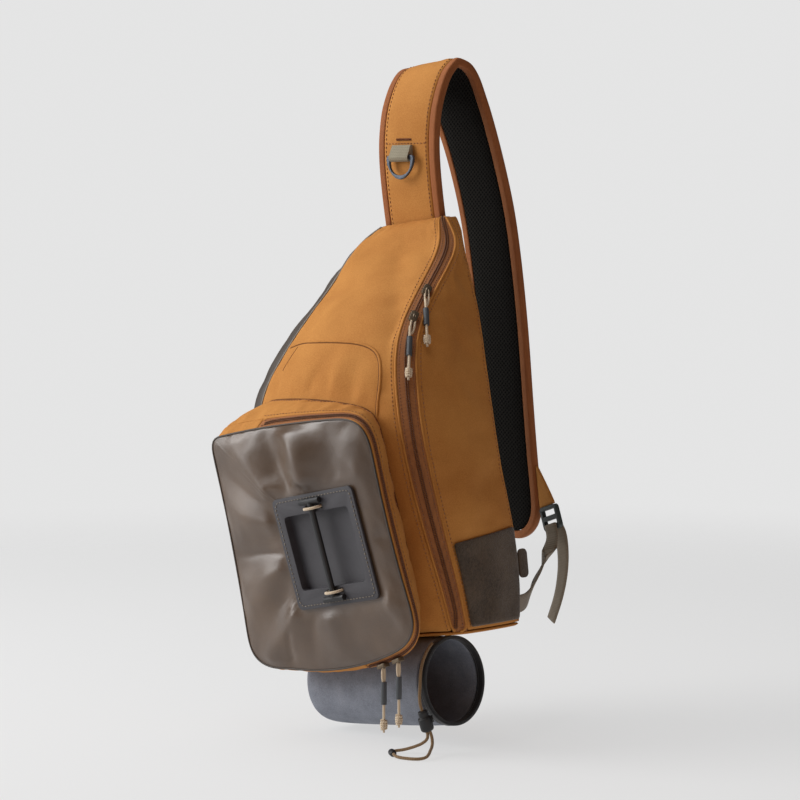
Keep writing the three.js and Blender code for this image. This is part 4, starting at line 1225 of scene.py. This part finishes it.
def sewn(name: str, lines: Iterable[Trail], finish: Finish, stitching: Stitching) -> bpy.types.Object:
    """Rows of stitches along trails.

    Args:
        name: The piece's name.
        lines: The trails.
        finish: The thread's material.
        stitching: The stitches' size.

    Returns:
        The piece.
    """
    shape = bmesh.new()
    for line in lines:
        stitching.sew(shape, line)
    return settle(piece_from(name, shape, finish), BAG)


@dataclass
class ZipFastener:
    """A zip: two tapes that meet along a coil, between two folded cloth edges."""

    name: str
    node: str
    between: tuple[str, str]
    core: Vector
    limit: float = 0.0045
    fold: float = 0.0012
    wall: float = 0.0018
    side_reach: float = 0.008
    stitch_inset: float = 0.0034
    thread: Stitching = Stitching(length=0.0024, pitch=0.0034, width=0.0008, lift=0.0001)
    turns: Stitching = Stitching(length=0.0042, pitch=0.0017, width=0.0014, lift=0.0004)
    turn_share: float = 0.95

    def build(self) -> None:
        """Makes the tapes, the coil, the folded edges and the stitches."""
        tape = piece_from(self.name, skin_of(self.node, self.limit, core=self.core), ZIP_TAPE)
        rounded(tape, 2)
        bake(tape)
        flat = mesh_of(tape)
        tree = BVHTree.FromBMesh(flat)
        sides = self._sides(flat)
        flat.free()
        welt(f"{self.name}_folds", sides, self.fold, CANVAS)
        rows = [inside(tree, side, self.stitch_inset) for side in sides]
        sewn(f"{self.name}_stitches", rows, TAPE_THREAD, self.thread)
        self._coil(self._middle(sides, tree))
        thicken(tape, self.wall)
        settle(tape, BAG, self.node)

    def _sides(self, flat: bmesh.types.BMesh) -> list[Trail]:
        """The tape's two long edges.

        Args:
            flat: The tape's mesh.

        Returns:
            The edge by each of the two neighbours.
        """
        gaps = [nearest(node) for node in self.between]
        chosen = []
        for mine, other in (gaps, gaps[::-1]):
            near = trails(flat, lambda e: e.is_boundary and all(
                mine(v.co) < min(self.side_reach, other(v.co)) for v in e.verts))
            chosen.append(even(max(near, key=span), LINE_PITCH))
        return chosen

    @staticmethod
    def _middle(sides: Sequence[Trail], tree: BVHTree) -> Trail:
        """Line half-way between the tape's two sides.

        Args:
            sides: The two sides.
            tree: The tape's surface.

        Returns:
            The line on the surface.
        """
        other = [place for place, _ in even(sides[1], FINE_PITCH)]
        found = BVHTree.FromPolygons(other, [(i, i, i) for i in range(len(other))])
        line = [((place + found.find_nearest(place)[0]) / 2, normal)
                for place, normal in even(sides[0], SOFT_PITCH)]
        return laid_on(tree, even(even(line, SOFT_PITCH), SOFT_PITCH))

    def _coil(self, line: Trail) -> None:
        """Lays the coil's turns across the line, in two rows that meet.

        Args:
            line: The coil's middle.
        """
        shape = bmesh.new()
        size = self.turns
        for place, normal, ahead in spaced(line, size.pitch):
            across = normal.cross(ahead).normalized()
            for side in (-0.5, 0.5):
                axes = (across * size.length / 2, ahead * size.pitch * self.turn_share, normal * size.width)
                turn = Matrix(axes).transposed().to_4x4()
                turn.translation = place + across * (side * size.length / 2) + normal * size.lift
                bmesh.ops.create_icosphere(shape, subdivisions=1, radius=0.5, matrix=turn)
        settle(piece_from(f"{self.name}_coil", shape, ZIP_COIL), BAG)


@dataclass
class Cord:
    """A free cord on one smooth curve."""

    name: str
    route: Sequence[Place]
    diameter: float
    finish: Finish
    nodes: tuple[str, ...]
    far_end: str
    lay: str = "hanging"
    piece: bpy.types.Object = field(init=False)

    def build(self) -> None:
        """Lays the curve through the route's places."""
        curve = bpy.data.curves.new(self.name, "CURVE")
        curve.dimensions = "3D"
        curve.bevel_depth = self.diameter / 2
        curve.bevel_resolution = 4
        curve.resolution_u = 8
        curve.use_fill_caps = True
        line = curve.splines.new("BEZIER")
        line.bezier_points.add(len(self.route) - 1)
        for point, place in zip(line.bezier_points, self.route):
            point.co = metres(*place)
            point.handle_left_type = point.handle_right_type = "AUTO"
        self.piece = bpy.data.objects.new(self.name, curve)
        bpy.context.scene.collection.objects.link(self.piece)
        self.finish.dress(self.piece)
        settle(self.piece, BAG, *self.nodes)

    def declare(self, *carried: bpy.types.Object) -> None:
        """Brings the view layer up to date.

        Args:
            carried: Not used.
        """
        bpy.context.view_layer.update()


@dataclass
class Studio:
    """Camera, pale floor and soft light."""

    target: Vector = field(default_factory=lambda: metres(-9.5, -40.3, -328.2))
    azimuth: float = 43.0
    elevation: float = 4.0
    distance: float = 2.6
    lens: float = 117.0
    floor: float = -0.6486
    floor_radius: float = 6.0
    floor_shade: float = 0.24
    floor_glow: float = 0.57
    floor_fade: tuple[float, float] = (0.5, 4.0)
    sky_seen: float = 0.78
    sky_light: float = 0.10

    def build(self) -> None:
        """Sets up the camera, the floor, the lights and the sky."""
        self._camera()
        self._floor()
        self._sky()
        self._lamp("key", (-1.5, -1.8, 0.8), size=1.5, power=48.0)
        self._lamp("low", (-1.5, -1.3, -0.3), size=0.8, power=8.0)
        self._lamp("top", (-0.5, -0.4, 1.7), size=2.0, power=26.0)
        self._lamp("fill", (2.0, -0.9, -0.1), size=1.6, power=4.0, colour=(1.0, 0.42, 0.14))

    def _camera(self) -> None:
        """Camera at the photograph's angle."""
        across, up = math.radians(self.azimuth), math.radians(self.elevation)
        back = Vector((math.sin(across) * math.cos(up), -math.cos(across) * math.cos(up), math.sin(up)))
        data = bpy.data.cameras.new("camera")
        data.sensor_width = 36.0
        data.lens = self.lens
        camera = bpy.data.objects.new("camera", data)
        camera.location = self.target + back * self.distance
        camera.rotation_mode = "QUATERNION"
        camera.rotation_quaternion = (-back).to_track_quat("-Z", "Y")
        bpy.context.scene.collection.objects.link(camera)
        bpy.context.scene.camera = camera

    def _floor(self) -> None:
        """Round floor that fades out into the sky's colour."""
        shape = bmesh.new()
        bmesh.ops.create_circle(shape, cap_ends=True, segments=96, radius=self.floor_radius,
                                matrix=Matrix.Translation((0, 0, self.floor)))
        mesh = bpy.data.meshes.new("floor")
        shape.to_mesh(mesh)
        shape.free()
        floor = bpy.data.objects.new("floor", mesh)
        bpy.context.scene.collection.objects.link(floor)
        graph = Graph("floor")
        x, y, _ = graph.axes()
        graph.finish((self.floor_shade,) * 3, 0.9, None, 0.0, Specular_IOR_Level=0.1,
                     Emission_Color=(1.0, 1.0, 1.0), Emission_Strength=self.floor_glow)
        fade = (x * x + y * y).step(*self.floor_fade)
        clear = graph.node("ShaderNodeBsdfTransparent").outputs[0]
        mixed = graph.node("ShaderNodeMixShader", {}, {0: fade, 1: graph.shader.outputs[0], 2: clear})
        output = next(node for node in graph.material.node_tree.nodes if node.type == "OUTPUT_MATERIAL")
        graph.plug(output.inputs["Surface"], mixed.outputs[0])
        mesh.materials.append(graph.material)

    def _sky(self) -> None:
        """Pale backdrop with a dimmer light of its own."""
        world = bpy.data.worlds.new("studio")
        world.use_nodes = True
        tree = world.node_tree
        shade = tree.nodes["Background"]
        shade.inputs["Color"].default_value = (1.0, 1.0, 1.0, 1.0)
        seen = tree.nodes.new("ShaderNodeLightPath").outputs["Is Camera Ray"]
        level = tree.nodes.new("ShaderNodeMapRange")
        level.inputs["To Min"].default_value = self.sky_light
        level.inputs["To Max"].default_value = self.sky_seen
        tree.links.new(seen, level.inputs["Value"])
        tree.links.new(level.outputs[0], shade.inputs["Strength"])
        bpy.context.scene.world = world
        bpy.context.scene.view_settings.view_transform = "Standard"

    def _lamp(self, name: str, place: Place, size: float, power: float,
              colour: RGB = (1.0, 1.0, 1.0)) -> None:
        """Soft square lamp that looks at the bag.

        Args:
            name: The lamp's name.
            place: Where it hangs.
            size: Its side.
            power: Its power in watts.
            colour: Its colour.
        """
        data = bpy.data.lights.new(name, "AREA")
        data.size = size
        data.color = colour
        data.energy = power
        lamp = bpy.data.objects.new(name, data)
        lamp.location = place
        aim = Vector(place) - self.target
        lamp.rotation_mode = "QUATERNION"
        lamp.rotation_quaternion = aim.to_track_quat("Z", "Y")
        bpy.context.scene.collection.objects.link(lamp)


@dataclass
class ZipPull:
    """A zip's slider with its bridge, and the cord, grip and knot that hang from it."""

    name: str
    slider: Vector
    along: Vector
    out: Vector
    top: Place
    bottom: Place
    diameter: float = 0.0026
    bridge_half: float = 0.0042
    bridge_foot: float = 0.0008
    bridge_rise: float = 0.0030
    bridge_wire: float = 0.0009
    knot_radius: float = 0.0021
    knot_swell: float = 0.0005
    knot_length: float = 0.0085
    knot_above: float = 0.0075
    knot_strand: float = 0.0012
    tip_step: float = 0.0013
    tip_lean: float = 0.28
    strand: float = 0.0010
    hidden: float = 0.001
    eye_height: float = 0.0032
    loop_half: float = 0.0019
    loop_share: float = 0.62

    def build(self) -> None:
        """Makes the slider and what hangs from it."""
        softened(f"{self.name}_slider_body", f"{self.name}_slider", SLIDER_METAL, 0.0006)
        self._bridge()
        start, end = Vector(self.top), Vector(self.bottom)
        route = [tuple(start.lerp(end, i / 15)) for i in range(16)]
        cord = Cord(f"{self.name}_cord", route, self.diameter, PALE_CORD, (f"{self.name}_pull_cord",), "knot")
        cord.build()
        grip = softened(f"{self.name}_grip", f"{self.name}_pull_grip", GRIP_TUBE, 0.0007)
        cord.declare(grip, self._loop(start, end), self._knot(start, end))

    def _bridge(self) -> None:
        """Arch over the slider's body that takes the cord."""
        shape = bmesh.new()
        side = self.along.cross(self.out).normalized()
        line = []
        for i in range(11):
            turn = math.pi * i / 10
            rise = self.out * (self.bridge_foot + self.bridge_rise * math.sin(turn))
            line.append((self.slider + self.along * (self.bridge_half * math.cos(turn)) + rise, side))
        tube(shape, line, self.bridge_wire)
        settle(piece_from(f"{self.name}_bridge", shape, SLIDER_METAL), BAG)

    def _knot(self, start: Vector, end: Vector) -> bpy.types.Object:
        """Wrapped knot round the cord's lower end, with the cord's two tips.

        Args:
            start: The cord's upper end in millimetres.
            end: Its lower end.

        Returns:
            The knot.
        """
        down = (end - start).normalized()
        across = down.orthogonal().normalized()
        third = down.cross(across)
        tip = end / 1000
        line = []
        for i in range(45):
            turn, share = 2 * math.pi * i / 11, i / 44
            reach = self.knot_radius + self.knot_swell * math.sin(math.pi * share)
            spot = (across * math.cos(turn) + third * math.sin(turn)) * reach
            line.append((tip + spot + down * (self.knot_length * share - self.knot_above), spot.normalized()))
        shape = bmesh.new()
        tube(shape, line, self.knot_strand)
        for side in (-1.0, 1.0):
            lean = (down + third * (self.tip_lean * side)).normalized()
            line = [(tip + lean * (self.tip_step * i - self.hidden), across) for i in range(5)]
            tube(shape, line, self.strand)
        return settle(piece_from(f"{self.name}_knot", shape, PALE_CORD), BAG)

    def _loop(self, start: Vector, end: Vector) -> bpy.types.Object:
        """The cord's doubled upper part, through the bridge and down to the grip.

        Args:
            start: The cord's upper end in millimetres.
            end: Its lower end.

        Returns:
            The loop.
        """
        down = (end - start).normalized()
        eye = self.slider + self.out * self.eye_height
        low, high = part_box(f"{self.name}_pull_grip")
        to_grip = (low + high) / 2 - eye
        reach = to_grip.length * self.loop_share
        way = to_grip.normalized()
        side = way.cross(self.out).normalized()
        line = []
        for i in range(25):
            turn = 2 * math.pi * i / 24
            drop = (1 - math.cos(turn)) / 2
            place = eye + way * (reach * drop - self.hidden) + side * (self.loop_half * math.sin(turn))
            line.append((place, down.cross(side)))
        shape = bmesh.new()
        tube(shape, line, self.strand)
        return settle(piece_from(f"{self.name}_loop", shape, PALE_CORD), BAG)


@dataclass
class Dock:
    """Moulded tool tray on the pocket, its bar and its cord loops."""

    half: float = 0.0505
    corner: float = 0.006
    lift: float = 0.0026

    def build(self) -> None:
        """Makes the tray, the bar, the loops and the row of stitches round the flange."""
        softened("dock_tray", "dock_plate", DOCK, 0.0011)
        softened("dock_rod", "dock_bar", BLACK_PLASTIC, 0.0007)
        for end in ("top", "bottom"):
            smoothed(f"dock_loop_{end}", f"dock_cord_{end}", PALE_CORD, 1)
        sewn("dock_stitches", [self._round()], PALE_THREAD, BODY_STITCH)

    def _round(self) -> Trail:
        """Places round the flange, in a square with round corners.

        Returns:
            The closed line.
        """
        line = []
        for quarter in range(4):
            for step in range(7):
                turn = math.pi / 2 * (quarter + step / 6)
                centre = math.pi / 4 + math.pi / 2 * quarter
                reach = (self.half - self.corner) * math.sqrt(2)
                x = reach * math.cos(centre) + self.corner * math.cos(turn)
                z = reach * math.sin(centre) + self.corner * math.sin(turn)
                line.append((DOCK_MIDDLE + DOCK_ACROSS * x + DOCK_UP * z + DOCK_OUT * self.lift, DOCK_OUT))
        line.append(line[0])
        return line


@dataclass
class Sleeve:
    """Stretch sleeve under the bag with its hem and the drawcord of its mouth."""

    cord_route: tuple[Place, ...] = (
        (126.5, -141.8, -546.3), (126.9, -146.3, -549.4), (127.4, -150.4, -553.1), (127.9, -153.9, -557.3),
        (128.4, -157.0, -561.8), (129.0, -159.4, -566.7), (129.7, -161.3, -571.8), (130.3, -162.4, -577.2),
        (131.0, -163.4, -582.6), (131.7, -164.7, -588.2), (132.05, -165.3, -591.2), (132.4, -165.7, -594.2),
        (132.8, -165.8, -597.3), (133.2, -165.6, -600.4), (133.55, -164.9, -603.4), (133.9, -163.8, -606.3))
    loop_route: tuple[Place, ...] = (
        (134.2, -158.0, -626.4), (134.7, -156.9, -630.2), (133.6, -156.9, -634.4), (130.2, -159.0, -638.2),
        (125.2, -162.6, -641.2), (119.3, -165.1, -643.6), (113.9, -168.5, -645.4), (109.95, -171.85, -646.2),
        (108.3, -174.4, -646.5), (107.9, -177.4, -646.5), (108.85, -180.3, -646.1), (111.0, -182.6, -645.5),
        (114.8, -185.2, -645.0), (117.5, -187.0, -645.0), (120.2, -188.8, -645.0), (123.6, -190.9, -645.4),
        (127.4, -192.1, -646.2), (132.0, -192.0, -646.6), (138.5, -190.3, -646.8), (145.0, -187.8, -646.8),
        (150.0, -183.4, -646.6), (151.8, -178.2, -645.8), (150.2, -172.8, -644.4), (146.8, -166.6, -642.2),
        (143.4, -160.6, -639.6), (140.7, -157.0, -636.0), (139.3, -156.4, -631.2), (138.5, -158.0, -625.9))
    cord_width: float = 0.003
    lock_place: Vector = field(default_factory=lambda: metres(135.1, -160.9, -616.2))
    lock_up: Vector = field(default_factory=lambda: Vector((-0.1, -0.3, 1.0)).normalized())
    button_out: float = 0.0068
    button_radius: float = 0.0034
    button_height: float = 0.0022
    button_round: float = 0.0006
    edge_radius: float = 0.0018
    edge_inset: float = 0.0013
    cloth: SoftWall = field(default_factory=lambda: SoftWall(
        "sleeve_cloth", "bottle_sleeve", SLEEVE, slack=0.004, pressure=0.3, cap=0.003, fill=0.2))

    def cords(self) -> None:
        """Makes the drawcord, its lock and its free loop with the clip."""
        drop = Cord("sleeve_drawcord", self.cord_route, self.cord_width, TAN_CORD, ("bungee_cord",),
                    far_end="fitting")
        drop.build()
        lock = softened("sleeve_cord_lock", "cord_lock", BLACK_PLASTIC, 0.0014)
        drop.declare(lock, self._button())
        nodes = ("bungee_loop_left", "bungee_loop_right")
        loop = Cord("sleeve_cord_loop", self.loop_route, self.cord_width, TAN_CORD, nodes, "object", "loose")
        loop.build()
        loop.declare(softened("sleeve_cord_clip", "cord_clip", BLACK_PLASTIC, 0.0006))

    def _button(self) -> bpy.types.Object:
        """Press button on the side of the cord lock.

        Returns:
            The button.
        """
        side = self.lock_up.orthogonal().normalized()
        turn = side.to_track_quat("Z", "Y").to_matrix().to_4x4()
        turn.translation = self.lock_place + side * self.button_out
        shape = bmesh.new()
        made = bmesh.ops.create_cone(shape, cap_ends=True, segments=20, radius1=self.button_radius,
                                     radius2=self.button_radius, depth=self.button_height, matrix=turn)
        edges = list(dict.fromkeys(edge for vert in made["verts"] for edge in vert.link_edges))
        rim = [edge for edge in edges if any(len(face.verts) > 4 for face in edge.link_faces)]
        bmesh.ops.bevel(shape, geom=rim, offset=self.button_round, affect="EDGES", segments=3, profile=0.5,
                        material=-1)
        return settle(piece_from("sleeve_lock_button", shape, BLACK_PLASTIC), BAG)

    def walls(self) -> list[SoftWall]:
        """The sleeve's cloth for the common simulation."""
        return [self.cloth]

    def hem(self) -> None:
        """Makes the mouth's hem and the turned edge inside it."""
        hem = smoothed("sleeve_mouth_hem", "sleeve_hem", BLACK_TRIM, 2, 0.8)
        turned = [[(place - normal * self.edge_inset, normal) for place, normal in line]
                  for line in self.cloth.seams("sleeve_hem", 0.0)]
        welt("sleeve_mouth_edge", turned, self.edge_radius, BLACK_TRIM, 1.0)


@dataclass
class Strap:
    """Padded shoulder strap with binding, webbing, buckle and ring."""

    inset: float = 0.0035
    seam_height: float = -0.073
    seam_half: float = 0.034
    tack_height: float = -0.069
    tack_half: float = 0.010
    tack_middle: float = -0.0045
    lining_gap: float = 0.004
    shortest: float = 0.12
    ray_start: float = -0.2
    ray_length: float = 0.18

    def build(self) -> None:
        """Makes the pad, its edges, the webbing and the hard parts."""
        for name, node, finish, fill, keep in (
            ("strap_cover", "strap_shell", CANVAS, 0.8, 0.9),
            ("strap_lining", "strap_mesh", MESH, 0.8, 0.9),
            ("strap_edge", "strap_binding", BINDING, 0.6, 0.5),
            ("strap_wing", "wing_tab", CANVAS, 0.4, 0.7),
        ):
            smoothed(name, node, finish, 2, keep)
        tree = surface_of(bpy.data.objects["strap_cover"])
        softened("strap_ladder_lock", "ladder_lock", BUCKLE, 0.0009)
        smoothed("strap_lower_webbing", "strap_webbing", WEBBING, 2, 0.9, sewn_into="back_panel")
        smoothed("strap_webbing_tail", "webbing_tail", WEBBING, 2, 0.9)
        softened("strap_ring_tab", "ring_tab", TAB_WEB, 0.0006)
        softened("strap_d_ring", "d_ring", RING_METAL, 0.0007, RING)
        self._stitches(tree)

    def _stitches(self, tree: BVHTree) -> None:
        """Sews rows along the pad's edges and across it by the ring.

        Args:
            tree: The cover's finished surface.
        """
        shell = merged("strap_shell")
        square_up(shell)
        plain = BVHTree.FromBMesh(shell)
        lining = nearest("strap_mesh")
        lines = trails(shell, lambda e: e.calc_face_angle(0.0) > SHARP_EDGE
                       and min(lining(vert.co) for vert in e.verts) > self.lining_gap)
        shell.free()
        sides = [run for line in lines for run in runs(line, least=self.shortest)]
        rows = [laid_on(tree, inside(plain, even(side, SOFT_PITCH), self.inset)) for side in sides]
        rows.append(self._across(tree, self.seam_height, 0.0, self.seam_half))
        sewn("strap_stitches", rows, BINDING_THREAD, STRAP_STITCH)
        tack = self._across(tree, self.tack_height, self.tack_middle, self.tack_half)
        sewn("strap_tack", [tack], BINDING_THREAD, TACK_STITCH)

    def _across(self, tree: BVHTree, height: float, middle: float, half: float) -> Trail:
        """Line across the strap's front.

        Args:
            tree: The strap's surface.
            height: The line's height.
            middle: Its middle.
            half: Half of its length.

        Returns:
            The line.
        """
        places = [Vector((middle + half * x / 10, self.ray_start, height)) for x in range(-10, 11)]
        hits = [tree.ray_cast(place, -FRONT, self.ray_length)[:2] for place in places]
        return [hit for hit in hits if hit[0]]


@dataclass
class BagBody:
    """The bag's cloth body, its pocket and its zips."""

    front: SoftWall = field(default_factory=lambda: SoftWall(
        "body_front", "front_panel", CANVAS, held=("pocket_gusset",), cap=0.004, core=BAG_CORE,
        folds=FRONT_FOLDS))
    right: SoftWall = field(default_factory=lambda: SoftWall(
        "body_right", "right_side", CANVAS, held=("felt_patch", "main_zip"), cap=0.004, core=BAG_CORE))
    left: SoftWall = field(default_factory=lambda: SoftWall(
        "body_left", "left_side", SIDE_COAT, pucker=0.0012, core=BAG_CORE))
    panel: SoftWall = field(default_factory=lambda: SoftWall(
        "pocket_front_panel", "pocket_panel", PANEL_COAT, side=Side.FRONT, slack=0.0, pressure=0.5, cap=0.002,
        stiff=20.0, pucker=0.0004, sway=0.0022, held=("dock_plate",), corner=100.0, folds=PANEL_FOLDS))
    gusset: SoftWall = field(default_factory=lambda: SoftWall(
        "pocket_side", "pocket_gusset", CANVAS, pucker=0.001, held=("pocket_zip",), core=POCKET_CORE))
    rim: SoftWall = field(default_factory=lambda: SoftWall(
        "pocket_edge", "pocket_rim", CANVAS, cap=0.0015, core=POCKET_CORE))
    felt: SoftWall = field(default_factory=lambda: SoftWall(
        "body_felt", "felt_patch", FELT, slack=0.002, pressure=0.4, cap=0.002))
    # Seam line of the front's upper panel: a folded edge beside it and a thin tube of painted shadow on it
    yoke: tuple[Place, ...] = (
        (-56.2, -148.4, -273.8), (-40.1, -149.2, -268.3), (7.5, -154.5, -265.6), (40.5, -155.5, -265.5),
        (62.1, -156.1, -268.5), (72.0, -158.2, -273.8), (77.8, -161.6, -281.9), (83.0, -168.5, -302.2),
        (85.7, -174.1, -329.0), (86.6, -178.0, -346.0), (87.0, -181.0, -360.0))
    # Line of a crease on the front, drawn as a thin tube of painted shadow
    crease: tuple[Place, ...] = (
        (-42.0, -152.0, -272.0), (-47.0, -156.0, -287.0), (-52.0, -160.0, -302.0), (-58.0, -165.0, -318.0))
    seam_inset: float = 0.0042
    felt_inset: float = 0.003
    yoke_step: float = 0.0011
    easing_pitch: float = 0.006
    ray_back: float = 0.08

    def walls(self) -> list[SoftWall]:
        """The body's cloth panels for the common simulation."""
        return [self.front, self.right, self.left, self.panel, self.gusset, self.rim, self.felt]

    def build(self) -> None:
        """Makes the pieces that aren't simulated."""
        smoothed("body_back", "back_panel", MESH, 1, 0.6)
        smoothed("body_bottom", "bottom_panel", CANVAS, 1, 0.8)
        softened("body_felt_tab", "felt_tab", FELT, 0.0008)
        ZipFastener("body_zip", "main_zip", ("front_panel", "right_side"), BAG_CORE).build()
        ZipFastener("pocket_zip_tape", "pocket_zip", ("pocket_panel", "pocket_gusset"), POCKET_CORE,
                    fold=0.0010).build()
        self._seams()

    def _seams(self) -> None:
        """Sews the panels' seams, lays their piping and the yoke's folded edge, and lays thin tubes of
        painted shadow along the yoke, the pocket's seam and a crease on the front.
        """
        seams = ((self.front, "main_zip"), (self.right, "main_zip"), (self.gusset, "front_panel"),
                 (self.gusset, "pocket_zip"), (self.right, "back_panel"))
        rows = [line for wall, node in seams for line in wall.seams(node, self.seam_inset)]
        outline = self._on_front(self.yoke)
        sewn("body_stitches", rows, TAN_THREAD, BODY_STITCH)
        welt("body_yoke_fold", [beside(outline, self.yoke_step)], radius=0.0014, finish=CANVAS)
        # Thin dark tube of painted shadow along the yoke seam
        welt("body_yoke_painted_shadow", [outline], radius=0.0010, finish=SEAM_PAINTED_SHADOW, flat=0.5)
        welt("body_left_piping", self.front.seams("left_side", 0.0), radius=0.0013, finish=GREY_PIPING)
        welt("pocket_panel_piping", self.panel.rim_lines(), radius=0.0010, finish=SIDE_COAT)
        # Thin dark tube of painted shadow along the seam between the pocket's side and the front
        welt("pocket_seam_painted_shadow", self.gusset.seams("front_panel", 0.0), radius=0.0014, finish=SEAM_PAINTED_SHADOW,
             flat=0.6)
        # Thin dark tube of painted shadow along a crease on the front
        welt("body_front_painted_shadow", [self._on_front(self.crease)], radius=0.0006, finish=SEAM_PAINTED_SHADOW, flat=0.5)
        sewn("body_felt_stitches", self.felt.rim_lines(self.felt_inset), DARK_THREAD, BODY_STITCH)

    def _on_front(self, places: Sequence[Place]) -> Trail:
        """Smooth line through places, on the draped front.

        Args:
            places: The places in millimetres.

        Returns:
            The line.
        """
        line = [(metres(*place), FRONT) for place in places]
        for _ in range(4):
            line = even(line, self.easing_pitch)
        tree = surface_of(self.front.piece)
        starts = [place + FRONT * self.ray_back for place, _ in even(line, LINE_PITCH)]
        hits = [tree.ray_cast(start, -FRONT)[:2] for start in starts]
        return [hit for hit in hits if hit[0]]


FRONT_FOLDS = FoldSet(
    metres(10.0, -105.0, -218.0), Vector((1.0, 0.0, 0.0)), Vector((0.0, 0.686, 0.728)),
    Vector((0.0, -0.728, 0.686)),
    (Fold((8, 46), (64, -40), 17, -4.2, 0.2, 0.0), Fold((66, -48), (82, -104), 11, -2.6, 0.0, 0.3),
     Fold((-50, 40), (-18, -50), 22, 2.6, 0.2, 0.0), Fold((-6, -116), (10, -82), 9, -2.2),
     Fold((40, -116), (46, -88), 8, -2.0), Fold((20, -118), (26, -86), 8, 1.8)))

PANEL_FOLDS = FoldSet(
    DOCK_MIDDLE, DOCK_ACROSS, DOCK_UP, DOCK_OUT,
    (Fold((-5, 58), (-13, 116), 19, 8.5, 0.3, 0.2), Fold((36, 80), (56, 108), 18, -2.4),
     Fold((-54, 57), (-92, 114), 16, 5.0), Fold((-30, 60), (-48, 112), 9, -2.6),
     Fold((-58, 28), (-116, 50), 13, 4.4), Fold((-57, 44), (-114, 86), 9, -2.2),
     Fold((-60, 2), (-128, 9), 2.8, -2.4, 0.0, 0.0), Fold((-60, -13), (-124, -20), 11, 3.2),
     Fold((-58, -28), (-124, -58), 11, -2.6), Fold((-56, -52), (-114, -94), 12, 5.0),
     Fold((-80, -76), (-92, -108), 2.8, -2.2, 0.0, 0.0), Fold((-18, -58), (-14, -98), 20, 2.8),
     Fold((-40, -60), (-58, -100), 9, -2.2), Fold((59, 2), (86, 1), 3.5, -1.6, 0.0, 0.0),
     Fold((57, -54), (76, -94), 11, 3.2), Fold((58, 58), (78, 100), 11, 1.2)))

PULLS = (
    ZipPull("main_upper", slider=metres(81.0, -100.9, -216.6),
            along=Vector((-0.18, 0.73, 0.66)), out=Vector((0.74, -0.34, 0.58)),
            top=(88.3, -109.4, -223.8), bottom=(107.0, -127.5, -263.8)),
    ZipPull("main_lower", slider=metres(88.1, -126.6, -240.9),
            along=Vector((-0.22, 0.69, 0.69)), out=Vector((0.72, -0.37, 0.59)),
            top=(93.4, -136.6, -248.3), bottom=(109.3, -155.9, -293.8)),
    ZipPull("pocket_front", slider=metres(108.8, -191.0, -561.6),
            along=Vector((0.94, -0.02, 0.35)), out=Vector((0.35, 0.0, -0.94)),
            top=(110.4, -191.0, -566.1), bottom=(110.4, -191.0, -622.1)),
    ZipPull("pocket_rear", slider=metres(127.2, -190.5, -554.5),
            along=Vector((0.91, -0.03, 0.41)), out=Vector((0.41, 0.0, -0.91)),
            top=(129.2, -190.5, -558.9), bottom=(129.2, -190.5, -614.9)),
)


def main() -> None:
    """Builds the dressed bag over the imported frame."""
    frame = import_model()
    NODES.update(frame["nodes"])
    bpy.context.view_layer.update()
    Studio().build()
    sleeve = Sleeve()
    sleeve.cords()
    for pull in PULLS:
        pull.build()
    body = BagBody()
    Drape.run(body.walls() + sleeve.walls())
    body.build()
    sleeve.hem()
    Dock().build()
    Strap().build()


if __name__ == "__main__":
    main()
